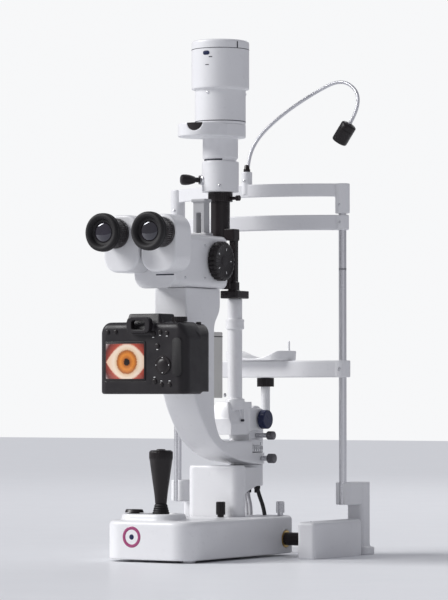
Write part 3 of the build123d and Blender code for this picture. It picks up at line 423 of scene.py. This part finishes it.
def ribs(count, depth, start, end):
    """A ripple for grip ribs between two heights of a knob."""

    def scale(angle, along):
        if start < along < end:
            return 1 - depth * (0.5 + 0.5 * math.cos(count * angle)) ** 3
        return 1.0

    return scale


def slab(bm, centre, across, up, out, width, height, depth, corner=0.25):
    """A rounded rectangular plate: width along across, height along up, raised along out."""
    across, up, out = Vector(across), Vector(up), Vector(out)
    radius = corner * min(width, height)
    steps = 6
    outline = []
    for turn, (sx, sy) in enumerate(((1, 1), (-1, 1), (-1, -1), (1, -1))):
        for index in range(steps + 1):
            angle = math.radians(90 * turn + 90 * index / steps)
            dx = sx * (width / 2 - radius) + radius * math.cos(angle)
            dy = sy * (height / 2 - radius) + radius * math.sin(angle)
            outline.append((dx, dy))
    edge = min(0.3 * depth, 0.3 * radius + 0.05)
    levels = ((0, 0), (depth - edge, 0), (depth - 0.3 * edge, 0.3 * edge), (depth, edge))
    rings = []
    for level, inset in levels:
        sx = 1 - 2 * inset / width
        sy = 1 - 2 * inset / height
        ring = [(Vector(centre) + across * dx * sx + up * dy * sy + out * level) * MM for dx, dy in outline]
        rings.append([bm.verts.new(point) for point in ring])
    for lower, upper in zip(rings, rings[1:]):
        for index in range(len(lower)):
            after = (index + 1) % len(lower)
            bm.faces.new((lower[index], lower[after], upper[after], upper[index]))
    bm.faces.new(list(reversed(rings[0])))
    bm.faces.new(rings[-1])
    return bm


def tube(name, points, radius, material, body, replaces=(), ridge=0.0, pitch=1.6, sides=20):
    """A round tube along a smooth line through given control points, with rings if ridge is set."""
    curve = bpy.data.curves.new(name + "_line", "CURVE")
    curve.dimensions = "3D"
    curve.resolution_u = 40
    spline = curve.splines.new("NURBS")
    spline.points.add(len(points) - 1)
    for point, place in zip(spline.points, points):
        point.co = (*(v * MM for v in place), 1)
    spline.order_u = 3
    spline.use_endpoint_u = True
    guide = bpy.data.objects.new(name + "_line", curve)
    line = [v.co.copy() for v in bpy.data.meshes.new_from_object(guide).vertices]
    bpy.data.objects.remove(guide)
    step = (pitch / 6 if ridge else 1.2) * MM
    places = [0.0]
    for start, end in zip(line, line[1:]):
        places.append(places[-1] + (end - start).length)
    count = max(8, round(places[-1] / step))
    dense = []
    part = 0
    for index in range(count + 1):
        wanted = places[-1] * index / count
        while part < len(line) - 2 and places[part + 1] < wanted:
            part += 1
        share = (wanted - places[part]) / max(places[part + 1] - places[part], 1e-9)
        dense.append(line[part].lerp(line[part + 1], share))
    bm = bmesh.new()
    rings = []
    travelled = 0.0
    side = None
    for index, point in enumerate(dense):
        ahead = (dense[min(index + 1, len(dense) - 1)] - dense[max(index - 1, 0)]).normalized()
        if index:
            travelled += (point - dense[index - 1]).length / MM
        if side is None:
            side = frame_of(ahead)[1]
        side = (side - ahead * side.dot(ahead)).normalized()
        up = ahead.cross(side)
        reach = radius - ridge * (0.5 + 0.5 * math.cos(2 * math.pi * travelled / pitch))
        ring = []
        for step in range(sides):
            angle = 2 * math.pi * step / sides
            ring.append(bm.verts.new(point + (side * math.cos(angle) + up * math.sin(angle)) * reach * MM))
        rings.append(ring)
    for lower, upper in zip(rings, rings[1:]):
        for step in range(sides):
            after = (step + 1) % sides
            bm.faces.new((lower[step], lower[after], upper[after], upper[step]))
    bm.faces.new(list(reversed(rings[0])))
    bm.faces.new(rings[-1])
    return publish(bm, name, material, body, replaces)


def screw_head(bm, centre, axis, radius, height=1.2):
    """A domed screw head with a recess in its middle."""
    profile = ((-0.4, radius), (0.35 * height, radius), (0.8 * height, 0.8 * radius))
    profile += ((height, 0.5 * radius), (0.55 * height, 0.3 * radius))
    turn_profile(bm, centre, axis, profile, 28)


def screws(name, places, axis, radius, body, material="steel"):
    """A set of domed screws, all facing the same way."""
    bm = bmesh.new()
    for place in places:
        screw_head(bm, place, axis, radius)
    return publish(bm, name, material, body)


def band(bm, centre, radius, low, high, start, end, thick=0.25, steps=24):
    """A thin curved strip round a vertical axis, between two heights and two angles in degrees."""
    rings = []
    for index in range(steps + 1):
        angle = math.radians(start + (end - start) * index / steps)
        out = Vector((math.cos(angle), math.sin(angle), 0))
        base = Vector((centre[0], centre[1], 0))
        inner, outer = radius - thick, radius + thick
        corners = ((inner, low), (outer, low), (outer, high), (inner, high))
        rings.append([bm.verts.new((base + out * reach + Z_AXIS * level) * MM) for reach, level in corners])
    for lower, upper in zip(rings, rings[1:]):
        for index in range(4):
            after = (index + 1) % 4
            bm.faces.new((lower[index], lower[after], upper[after], upper[index]))
    bm.faces.new(list(reversed(rings[0])))
    bm.faces.new(rings[-1])
    return bm


# ------------------------------------------------------------------ camera, floor and light
def aim(item, target):
    """Turns a camera or light to look at a point."""
    item.rotation_euler = (Vector(target) - item.location).to_track_quat("-Z", "Y").to_euler()


def studio():
    """A long lens a little above the table, a pale floor and backdrop, a broad key from the front left."""
    camera = bpy.data.objects.new("camera", bpy.data.cameras.new("camera"))
    camera.location = (2.09, -3.48, 0.209)
    camera.data.lens = 185
    camera.data.sensor_width = 36
    camera.data.clip_end = 60
    aim(camera, (-0.025, -0.015, 0.334))
    bpy.context.scene.collection.objects.link(camera)
    bpy.context.scene.camera = camera
    for name, kind, place, extent, power in (
        ("key", "SUN", (-2.6, -1.9, 2.4), math.radians(28), 3.0),
        ("fill", "AREA", (2.8, -2.4, 0.9), 2.2, 3),
        ("back", "AREA", (-0.4, 2.6, 2.2), 1.6, 12),
    ):
        light = bpy.data.objects.new(name, bpy.data.lights.new(name, kind))
        light.data.energy = power
        if kind == "SUN":
            light.data.angle = extent
        else:
            light.data.size = extent
        light.location = place
        aim(light, (0, -0.1, 0.3))
        bpy.context.scene.collection.objects.link(light)
    world = bpy.data.worlds.new("world")
    world.use_nodes = True
    tree = world.node_tree
    ambient = tree.nodes["Background"]
    ambient.inputs["Color"].default_value = (0.86, 0.87, 0.95, 1)
    ambient.inputs["Strength"].default_value = 0.36
    backdrop = tree.nodes.new("ShaderNodeBackground")
    backdrop.inputs["Color"].default_value = (0.96, 0.965, 0.975, 1)
    backdrop.inputs["Strength"].default_value = 0.97
    seen = tree.nodes.new("ShaderNodeLightPath")
    mix = tree.nodes.new("ShaderNodeMixShader")
    tree.links.new(seen.outputs["Is Camera Ray"], mix.inputs[0])
    tree.links.new(ambient.outputs["Background"], mix.inputs[1])
    tree.links.new(backdrop.outputs["Background"], mix.inputs[2])
    tree.links.new(mix.outputs["Shader"], tree.nodes["World Output"].inputs["Surface"])
    bpy.context.scene.world = world
    bpy.context.scene.view_settings.view_transform = "Standard"
    bm = bmesh.new()
    bmesh.ops.create_grid(bm, x_segments=24, y_segments=24, size=9)
    mesh = bpy.data.meshes.new("floor")
    bm.to_mesh(mesh)
    bm.free()
    floor = bpy.data.objects.new("floor", mesh)
    mesh.materials.append(enamel("floor_paper", (0.83, 0.84, 0.865), (0.8, 0.81, 0.84), 0.6))
    bpy.context.scene.collection.objects.link(floor)


# ------------------------------------------------------------------ softened housings
CASTS = (
    # node, material, body, slot, voxel in mm, smoothing rounds
    ("base_housing", "white", "base", "white_paint", 1.3, 4),
    ("lift_column", "white", "lift", "white_paint", 0.9, 6),
    ("microscope_arm", "white", "microscope", "white_paint", 1.1, 7),
    ("microscope_body", "white", "microscope", "white_paint", 1.0, 5),
    ("prism_housing_left", "white", "prism_left", "white_paint", 0.9, 7),
    ("prism_housing_right", "white", "prism_right", "white_paint", 0.9, 7),
    ("relay_box", "relay", "microscope", "grey_paint", 0.9, 5),
    # the tonometer bracket is cast in the grey painted shade
    ("tonometer_bracket", "grey", "microscope", "grey_paint", 0.6, 4),
    ("camera_body", "camera", "microscope", "camera_shell", 1.0, 5),
    ("illumination_hub", "white", "illumination", "grey_paint", 0.7, 4),
    ("tower_column", "white", "tower", "white_paint", 0.8, 5),
    ("mirror_carrier", "anodised", "tower", "black_anodised", 0.7, 3),
    ("slit_housing", "white", "tower", "white_paint", 0.9, 4),
    ("lamp_housing", "white", "tower", "white_paint", 1.0, 4),
    ("headrest_foot", "white", "table_fixed", "white_paint", 1.3, 5),
    ("rail_covers", "white", "table_fixed", "white_paint", 0.9, 4),
    ("top_bow", "white", "table_fixed", "white_paint", 0.8, 4),
    ("forehead_band", "silicone", "table_fixed", "silicone", 0.9, 8),
    ("chin_beam", "white", "table_fixed", "white_paint", 0.9, 5),
    ("chin_cup", "pearl", "chin", "chin_plastic", 0.7, 4),
)


# ------------------------------------------------------------------ base and joystick
def base_details():
    """The ring emblem, the joystick's boot and turned grip, and the cap screws."""
    front = at("base_housing", x=0.5, y=0, z=0.5, shift=(-20, 0.15, 0))
    ring = ((-0.4, 9.2), (0.15, 9.2), (0.4, 9.6), (0.45, 11.5), (0.4, 13), (0.1, 13.4), (-0.4, 13.4))
    for name, profile, material in (
        ("emblem_ring", ring, "mauve"),
        ("emblem_face", ((-0.3, 9.4), (0.05, 9.4), (0.1, 8.6)), "chalk"),
    ):
        lathe(name, front, -Y_AXIS, profile, material, "base")
    dot = ((-0.3, 3.4), (0.2, 3.4), (0.35, 3.0), (0.35, 1.0))
    lathe("emblem_dot", front, -Y_AXIS, dot, "blue", "base", steps=40)
    corners = [at("base_housing", x=x, y=1, z=0.3, shift=(0, -0.2, 0)) for x in (0.12, 0.88)]
    screws("base_back_screws", corners, Y_AXIS, 2.6, "base")
    foot = at("joystick_shaft", z=0)
    foot.z = 0
    folds = [(48.3, 9.5), (48.4, 12.9), (52.6, 12.9)]
    for step in range(21):
        share = step / 20
        folds.append((53 + 18.5 * share, 12.9 - 5.2 * share ** 0.8 + (0.75 if step % 3 == 0 else 0)))
    folds.append((72.1, 7.4))
    lathe("joystick_boot", foot, Z_AXIS, folds, "rubber", "joystick", steps=48)
    outer = [(72.4, 4.5), (72.4, 6.9), (72.9, 7.4), (78, 7.8), (84, 8.4), (92, 9.5), (100, 10.7), (108, 11.8)]
    outer += [(116, 12.9), (123, 13.8), (126.5, 14.3), (128.6, 14.8), (129.4, 15), (136.6, 15), (137.8, 14.6)]
    outer += [(139.0, 13.2), (139.5, 12.2), (139.5, 7.2), (139.2, 6.6), (137.5, 6.4), (131, 6.4)]
    grip = ribs(44, 0.035, 129.2, 137.6)
    lathe("joystick_grip_turned", foot, Z_AXIS, outer, "black", "joystick_turn",
          ("joystick_grip",), 176, grip)


# ------------------------------------------------------------------ lift and cables
BLACK_CABLE = ((12, 8, 90), (12, 8, 85), (28, 1, 57), (28, 1, 45))
GREY_CABLE = ((-4, 8, 90), (-4, 8, 76), (4, 2, 64), (4, 2, 45))


def lift_details():
    """Cable glands, the angle scale's marks and the cables."""
    for name, route, radius in (("gland_black", BLACK_CABLE, 4.2), ("gland_grey", GREY_CABLE, 7.0)):
        profile = [(0, radius), (4, radius), (4.6, radius * 0.9)]
        for step in range(4):
            profile += [(5 + step, radius * 0.84), (5.4 + step, radius * 0.92)]
        profile.append((9.4, radius * 0.8))
        lathe(name, route[0], -Z_AXIS, profile, "rubber", "lift", steps=40)
    strands = [("cable_black", BLACK_CABLE, 2.65, (0, 0), "cable_black")]
    for index in range(3):
        angle = math.radians(90 + 120 * index)
        offset = (3.0 * math.cos(angle), 3.0 * math.sin(angle))
        strands.append((f"cable_grey_{index}", GREY_CABLE, 2.7, offset, "cable"))
    for name, route, radius, offset, material in strands:
        points = [(x + offset[0], y + offset[1], z) for x, y, z in route]
        piece = tube(name, points, radius, material, None, ("lift_cables",))
        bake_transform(piece)
    centre = at("angle_scale")
    low, high = at("angle_scale", z=0).z, at("angle_scale", z=1).z
    radius = size("angle_scale").x / 2
    bm = bmesh.new()
    for degree in range(0, 360, 5):
        tall = 0.72 if degree % 10 == 0 else 0.45
        top = high - 0.6
        half = 0.9 if degree % 10 == 0 else 0.6
        band(bm, centre, radius, top - tall * (high - low), top, degree - half, degree + half, 0.12, 2)
    publish(bm, "angle_marks", "ink", "lift")
    bm = bmesh.new()
    band(bm, centre, radius, low + 0.4, low + 1.1, 0, 360, 0.1, 96)
    publish(bm, "angle_line", "ink", "lift")
    hub = size("illumination_hub").x / 2
    foot = at("illumination_hub", z=0).z
    bm = bmesh.new()
    for degree in (-90, 0, -55):
        band(bm, centre, hub, foot + 0.4, foot + 4, degree - 1.2, degree + 1.2, 0.15, 2)
    publish(bm, "index_marks", "ink", "illumination")


# ------------------------------------------------------------------ microscope
def eyepiece(name):
    """A black ocular with a ribbed dioptre ring, a soft rubber cup and coated glass."""
    centre = at(f"eyepiece_{name}", y=1)
    depth = size(f"eyepiece_{name}").y
    body = f"ocular_{name}"
    cup = depth - 11
    barrel = [(0.3, 15.6), (6, 15.9), (6.6, 18.5), (7.2, 19), (12, 19), (12.4, 18.6), (12.8, 18.9)]
    barrel += [(24.6, 18.9), (25, 18.4), (cup + 0.4, 18.4), (cup + 0.6, 16)]
    lathe(f"ocular_barrel_{name}", centre, -Y_AXIS, barrel, "anodised", body,
          (f"eyepiece_{name}",), 180, ribs(45, 0.045, 12.6, 24.8))
    rim = ((0, 15.5), (0, 21.6), (0.8, 23.2), (2.2, 24.1), (4, 24.2), (5, 23.7), (6, 24.1), (8.6, 23.9))
    rim += ((10.2, 22.9), (11, 21.2), (10.8, 19.2), (9.6, 17.6), (7.4, 16.2), (5.2, 15.4), (4.6, 13.6))
    rim += ((4.4, 12.9),)
    rubber = [(cup + along, radius) for along, radius in rim]
    lathe(f"ocular_cup_{name}", centre, -Y_AXIS, rubber, "rubber", body, steps=96)
    dome = [(cup + 4.3, 12.8), (cup + 4.7, 12.4)] + [(cup + 4.7 + 2.2 * math.sin(a), 12.4 * math.cos(a))
                                                    for a in (0.3, 0.6, 0.9, 1.2, 1.5)]
    lathe(f"ocular_glass_{name}", centre, -Y_AXIS, dome, "lens", body, steps=72)
    bm = bmesh.new()
    for degree in range(-60, 61, 15):
        angle = math.radians(90 + degree)
        out = X_AXIS * math.cos(angle) + Z_AXIS * math.sin(angle)
        slab(bm, centre + out * 18.9 - Y_AXIS * 9.6, out.cross(Y_AXIS), Y_AXIS, out, 0.5, 2.4, 0.25, 0.2)
    publish(bm, f"dioptre_marks_{name}", "chalk", body)


def microscope_details():
    """Drum knobs, objective, screws, seams and the relay box's trim."""
    for side in (-1, 1):
        centre = at("drum_core")
        profile = [(26.6, 11.9), (27.7, 11.9), (27.8, 23.4), (28.4, 24.8), (29.6, 25.4), (37, 25.4)]
        profile += [(38.1, 24.6), (38.8, 22.6), (38.9, 20.6), (38.2, 19.8), (38.1, 7), (38.7, 6.4), (38.9, 3)]
        lathe(f"drum_knob_{side + 1}", centre, X_AXIS * side, profile, "black", "drum",
              ("drum_knobs",), 192, ribs(24, 0.06, 28.2, 38.3))
        bm = bmesh.new()
        for index in range(5):
            angle = 2 * math.pi * index / 5
            out = Y_AXIS * math.cos(angle) + Z_AXIS * math.sin(angle)
            place = centre + X_AXIS * side * 38.1 + out * 15.5
            slab(bm, place, out.cross(X_AXIS), out, X_AXIS * side, 1.2, 3.4, 0.2, 0.4)
        publish(bm, f"drum_marks_{side + 1}", "chalk", "drum")
    eyepiece("left")
    eyepiece("right")
    bm = bmesh.new()
    slot = at("microscope_body", y=0, z=0.24, shift=(15, 0.3, 0))
    slab(bm, slot, X_AXIS, Z_AXIS, -Y_AXIS, 27, 1.8, 0.5, 0.5)
    publish(bm, "flange_slot", "ink", "microscope")
    front = at("microscope_optics", y=1)
    ring = [(-0.6, 13.4), (-0.5, 17.6), (2.2, 17.6), (2.8, 17), (2.8, 14.8), (1.2, 13.8), (0.4, 13.6)]
    lathe("objective_ring", front, Y_AXIS, ring, "anodised", "microscope", steps=96)
    glass_face = [(0.2, 13.5)]
    glass_face += [(0.3 + 1.3 * math.sin(a), 13.5 * math.cos(a)) for a in (0.2, 0.5, 0.8, 1.1, 1.4)]
    lathe("objective_glass", front, Y_AXIS, glass_face, "lens", "microscope", steps=72)
    corners = ((0.22, 0.2), (0.22, 0.8), (0.58, 0.2), (0.58, 0.8))
    sides = [at("microscope_body", x=1, y=y, z=z, shift=(-4.0, 0, 0)) for y, z in corners]
    screws("body_screws", sides, X_AXIS, 1.9, "microscope")
    arm_side = at("microscope_arm", x=1, y=0.45, z=0.4, shift=(-0.2, 0, 0))
    screws("arm_screw", [arm_side], X_AXIS, 2.6, "microscope")
    box = size("relay_box")
    bm = bmesh.new()
    for x, across in ((1, Y_AXIS), (0, -Y_AXIS)):
        out = X_AXIS if x else -X_AXIS
        slab(bm, at("relay_box", x=x, z=0.93, shift=(-0.15 if x else 0.15, 0, 0)), across, Z_AXIS, out,
             box.y - 3, 1.2, 0.35, 0.2)
    lid = at("relay_box", y=1, z=0.93, shift=(0, -0.15, 0))
    slab(bm, lid, -X_AXIS, Z_AXIS, Y_AXIS, box.x - 3, 1.2, 0.35, 0.2)
    plug = at("relay_box", y=1, z=0.06, shift=(0, -0.3, 0))
    slab(bm, plug, -X_AXIS, Z_AXIS, Y_AXIS, 9, 6, 3, 0.2)
    publish(bm, "relay_trim", "black", "microscope")


# ------------------------------------------------------------------ camera
# Buttons on the camera's back: x, z and radius in mm, and the white marks beside them
BUTTONS = ((18, 285, 3.0), (28, 287, 2.6), (38, 286, 2.6), (24, 270, 3.0), (20, 226, 3.2))
BUTTONS += ((30, 222, 2.6), (42, 222, 2.6), (-50, 288, 2.6), (-38, 288, 2.6))
BUTTON_MARKS = ((18, 280.6), (28, 283), (38, 282), (24, 265.4), (20, 231), (30, 226.4), (42, 226.4))


def camera_details():
    """The screen and its bezel, rubber panels, controls, strap lugs, dial marks, hot shoe and lens mount."""
    screen = at("camera_screen", y=0)
    wide, tall = size("camera_screen").x, size("camera_screen").z
    bm = bmesh.new()
    slab(bm, screen + Y_AXIS * 0.6, X_AXIS, Z_AXIS, -Y_AXIS, wide, tall, 1.1, 0.06)
    publish(bm, "screen_glass", "black", "microscope", ("camera_screen",))
    bm = bmesh.new()
    slab(bm, screen - Y_AXIS * 0.45, X_AXIS, Z_AXIS, -Y_AXIS, wide - 5, tall - 6, 0.25, 0.03)
    picture = eye_picture("screen_picture", (screen + X_AXIS * 3 - Z_AXIS * 1) * MM, (wide - 5) * MM)
    publish(bm, "screen_view", picture, "microscope")
    face_y = screen.y - 0.4
    bm = bmesh.new()
    for x, z, radius in BUTTONS:
        button = ((-0.5, radius), (0.6, radius), (1.0, radius * 0.85), (1.15, radius * 0.5))
        turn_profile(bm, (x, face_y, z), -Y_AXIS, button, 28)
    pad = Vector((32, face_y, 246))
    steps = ((-0.5, 11.5), (0.5, 11.5), (0.9, 11), (0.7, 7.8), (1.1, 7.4), (1.5, 5), (1.6, 4.6))
    turn_profile(bm, pad, -Y_AXIS, steps, 48)
    publish(bm, "camera_buttons", "black", "microscope")
    bm = bmesh.new()
    for x, z in BUTTON_MARKS:
        slab(bm, (x, face_y + 0.2, z), X_AXIS, Z_AXIS, -Y_AXIS, 2.6, 0.9, 0.35, 0.2)
    for degree in (0, 90, 180, 270):
        angle = math.radians(degree)
        out = X_AXIS * math.cos(angle) + Z_AXIS * math.sin(angle)
        mark = pad - Y_AXIS * 0.75 + out * 9.4
        slab(bm, mark, out.cross(Y_AXIS), out, -Y_AXIS, 1.6, 0.8, 0.3, 0.2)
    publish(bm, "camera_button_marks", "chalk", "microscope")
    bm = bmesh.new()
    slab(bm, (53, face_y + 0.2, 256), X_AXIS, Z_AXIS, -Y_AXIS, 14, 48, 1.3, 0.45)
    publish(bm, "camera_rubber", "rubber", "microscope")
    top = at("camera_body", z=1)
    bm = bmesh.new()
    for side in (-1, 1):
        slab(bm, (side * 8.4, top.y, top.z - 0.8), Y_AXIS, X_AXIS, Z_AXIS, 18, 2.4, 0.8, 0.2)
    publish(bm, "hot_shoe", "steel", "microscope")
    bm = bmesh.new()
    for side in (-1, 1):
        lug = ((-1, 3.4), (1.2, 3.4), (1.6, 3), (1.8, 1.6))
        turn_profile(bm, (side * 62.5, top.y + 4, 276), X_AXIS * side, lug, 28)
    publish(bm, "strap_lugs", "steel", "microscope")
    dial = at("camera_dial", z=1)
    bm = bmesh.new()
    for index in range(12):
        angle = 2 * math.pi * index / 12
        out = X_AXIS * math.cos(angle) + Y_AXIS * math.sin(angle)
        long = 1.8 if index % 3 else 2.6
        slab(bm, dial + out * 7 - Z_AXIS * 0.12, out.cross(Z_AXIS), out, Z_AXIS, 0.7, long, 0.2, 0.2)
    publish(bm, "dial_marks", "chalk", "mode_dial")
    mount = at("camera_body", x=0.5, y=0, z=0, shift=(0, 56.2, 48))
    rim = [(-1, 27.4), (2, 27.6), (2.4, 27.2), (3, 27.2), (3.2, 27.6), (7.6, 27.6), (8, 27), (8.2, 21.4)]
    lathe("lens_mount", mount, Y_AXIS, rim, "anodised", "microscope", steps=96)


# ------------------------------------------------------------------ lamp tower
TOWER_AXIS = Vector((0, -65, 0))
FILTER_AXIS = Vector((-10.5, -88, 0))
LAMP_R = 37.5
LAMP_FOOT_R = 33.0


def level(degree):
    """The unit vector at an angle in degrees, seen from above."""
    return Vector((math.cos(math.radians(degree)), math.sin(math.radians(degree)), 0))


def tower_details():
    """Screws, seams, window and marks on the lamp tower."""
    lamp = at("lamp_housing")
    foot = at("lamp_housing", z=0).z
    top = at("lamp_housing", z=1).z
    bm = bmesh.new()
    band(bm, lamp, LAMP_FOOT_R + 0.05, foot + 3.2, foot + 4.2, 0, 360, 0.12, 96)
    band(bm, lamp, LAMP_R + 0.05, top - 12, top - 11.2, 0, 360, 0.1, 96)
    band(bm, TOWER_AXIS, 21.1, 512.2, 515.8, -138, -52, 0.2, 48)
    publish(bm, "tower_seams", "ink", "tower")
    bm = bmesh.new()
    band(bm, FILTER_AXIS, 32.6, 549.2, 559.8, -100.5, -62, 0.3, 32)
    publish(bm, "filter_window", "black", "tower")
    bm = bmesh.new()
    band(bm, lamp, LAMP_R + 0.05, top - 12, top - 3, -24, -21.5, 0.12, 3)
    band(bm, lamp, LAMP_R + 0.05, top - 24, top - 22.8, -82, -75, 0.1, 6)
    band(bm, lamp, LAMP_R + 0.05, top - 34, top - 33, -90, -82, 0.1, 6)
    publish(bm, "lamp_marks", "ink", "tower")
    out = level(-88)
    bm = bmesh.new()
    plate = Vector((lamp.x, lamp.y, top - 18)) + out * 37.2
    slab(bm, plate, out.cross(Z_AXIS), Z_AXIS, out, 9.5, 5.5, 0.5, 0.48)
    publish(bm, "lamp_plate", "blue", "tower")
    bm = bmesh.new()
    for degree in (-88, 32, 152):
        out = level(degree)
        screw_head(bm, Vector((lamp.x, lamp.y, 600)) + out * 32.9, out, 2.0, 0.9)
    for degree in (-60, 60, 180):
        out = level(degree)
        screw_head(bm, TOWER_AXIS + Z_AXIS * 480 + out * 23.9, out, 1.9, 0.9)
    publish(bm, "tower_screws", "steel", "tower")
    cap = [(-0.5, 30), (-0.2, 30), (-0.05, 29.4), (-0.05, 12), (-0.5, 11.4)]
    lathe("lamp_cap", (lamp.x, lamp.y, top), Z_AXIS, cap, "white", "tower", steps=96)
    knob = [(28.2, 6), (28.4, 3.2), (33.5, 3.2), (34.5, 4.4)]
    knob += [(38, 5.6), (42, 6.6), (46, 7), (50, 6.9), (52, 6.2), (53, 4.6), (53.2, 2)]
    slit_knob = TOWER_AXIS + Z_AXIS * 488
    direction = Vector((-1, -1, 0)).normalized()
    lathe("slit_knob_turned", slit_knob, direction, knob, "black", "slit_length",
          ("slit_knob",), 72)
    collar = [(22.6, 6.8), (25.6, 6.8), (26.2, 6.2), (26.3, 3.4)]
    lathe("slit_knob_collar", slit_knob, direction, collar, "steel", "tower", steps=48)
    bm = bmesh.new()
    slab(bm, (20.9, -44, 176), Y_AXIS, Z_AXIS, X_AXIS, 9, 3, 0.35, 0.45)
    slab(bm, (-20.9, -44, 176), -Y_AXIS, Z_AXIS, -X_AXIS, 9, 3, 0.35, 0.45)
    publish(bm, "wedge_latch", "ink", "tower")
    boss = Vector((10, -45, 301))
    ring = [(-6.3, 11.6), (-6, 12), (-3, 12.1), (-2.6, 11.7), (2.6, 11.7), (3, 12.1), (6, 12), (6.3, 11.6)]
    lathe("column_ring", boss, Z_AXIS, ring, "white", "tower", steps=72)
    filter_top = at("filter_disc", z=1)
    rim = size("filter_disc").x / 2 - 0.1
    bm = bmesh.new()
    for degree in range(0, 360, 72):
        band(bm, filter_top, rim, 549.5, 553.5, degree - 2, degree + 2, 0.25, 4)
    publish(bm, "filter_marks", "chalk", "filter")


def hinge_details():
    """The slit width knob's face and the two clamp screws below it."""
    face = at("slit_width_knob", x=1)
    disc = [(-0.5, 9.6), (0.0, 9.6), (0.25, 9.2), (0.25, 4), (0.05, 3.6)]
    lathe("slit_width_face", face - X_AXIS * 0.26, X_AXIS, disc, "blue", "slit_width", steps=64)
    for body in ("illumination_lock", "microscope_lock"):
        node = f"{body}_screw"
        end = at(node, x=1)
        long, radius = size(node).x, size(node).z / 2
        shank = [(-long, 2.4), (0.5 - long, 2.5), (5.6 - long, 2.5), (5.8 - long, 0.55 * radius)]
        shank.append((-10.1, 0.55 * radius))
        lathe(f"{node}_shank", end, X_AXIS, shank, "steel", body, steps=40)
        head = [(-10, 0.6 * radius), (-9.8, 0.9 * radius), (-9.2, radius), (-1.2, radius)]
        head += [(-0.5, 0.93 * radius), (-0.1, 0.8 * radius), (-0.1, 0.3 * radius)]
        lathe(f"{node}_head", end, X_AXIS, head, "dark_steel", body, (node,), 120,
              ribs(20, 0.07, -9.5, -0.9))


# ------------------------------------------------------------------ headrest
UPRIGHT_X = 127
UPRIGHT_Y = 33
NECK_ROUTE = ((6, -8, 476.5), (6, -8, 512), (15, 0, 545), (47, 10, 576), (96, 16, 605), (134, 18, 620),
              (158, 20, 604), (157, 20, 578), (145, 20, 561))


def headrest_details():
    """The ribbed gooseneck with its target lamp, height marks, end caps and screws."""
    tube("gooseneck_ribbed", NECK_ROUTE, 2.4, "neck", "fixation", ("gooseneck",), 0.35, 1.7)
    collar = ((0, 4.4), (3, 4.4), (4, 3.6), (8, 3.2), (9, 2.6))
    lathe("gooseneck_collar", (6, -8, 502.3), Z_AXIS, collar, "anodised", "fixation",
          steps=40)
    start, end = Vector(NECK_ROUTE[-2]), Vector(NECK_ROUTE[-1])
    axis = (end - start).normalized()
    axis.y = 0
    head = [(-1.5, 3.2), (-0.6, 5.2), (0.2, 8.2), (1.2, 9.8), (2.4, 10.4), (8, 10.4), (8.3, 10), (8.9, 10)]
    head += [(9.2, 10.4), (25.8, 10.4), (27.3, 9.9), (27.9, 9), (27.9, 7.2), (26.4, 6.8), (25, 6.6)]
    lathe("target_lamp", end, axis.normalized(), head, "black", "fixation",
          ("fixation_head",), 72)
    dome = [(24.8, 6.5)] + [(25 + 1.6 * math.sin(a), 6.4 * math.cos(a)) for a in (0.3, 0.7, 1.1, 1.45)]
    lathe("target_lens", end, axis.normalized(), dome, "lens", "fixation", steps=48)
    bm = bmesh.new()
    for side in (0, 1):
        post = at("uprights", x=side)
        post.x += 5 if side == 0 else -5
        for height in (372, 373.6):
            band(bm, post, 5.02, height, height + 0.7, 0, 360, 0.08, 40)
    publish(bm, "eye_level_marks", "ink", "table_fixed")
    bm = bmesh.new()
    cap = ((0, 8.2), (0.5, 9.2), (1.6, 9.2), (2.4, 8.4), (2.45, 3))
    cap_z = at("uprights", z=1).z - 0.5
    for x in (-UPRIGHT_X, UPRIGHT_X):
        turn_profile(bm, (x, UPRIGHT_Y, cap_z), Z_AXIS, cap, 48)
        screw_head(bm, (x, 23.3, 243), -Y_AXIS, 2.6)
        screw_head(bm, (x, 24.8, 434), -Y_AXIS, 2.2, 0.9)
        screw_head(bm, (x, 23.8, 457), -Y_AXIS, 2.0, 0.9)
    screw_head(bm, (6, -14.8, 490), -Y_AXIS, 2.0, 0.9)
    publish(bm, "headrest_screws", "steel", "table_fixed")
    bm = bmesh.new()
    for side in (-1, 1):
        for y in (-56, 40):
            screw_head(bm, (side * 131, y, 46.8), Z_AXIS, 2.4, 0.8)
    publish(bm, "cover_screws", "steel", "table_fixed")


studio()
housings = {}
for node, material, body, slot, voxel, rounds in CASTS:
    housings[node] = cast(node, material, body, voxel, rounds)
# The camera's shoulders, steeper on the grip's side
round_shoulder(housings["camera_body"], 50, 64.5, 240, 300, 15)
round_shoulder(housings["camera_body"], -50, -64.5, 240, 300, 7)
base_details()
lift_details()
microscope_details()
camera_details()
tower_details()
hinge_details()
headrest_details()
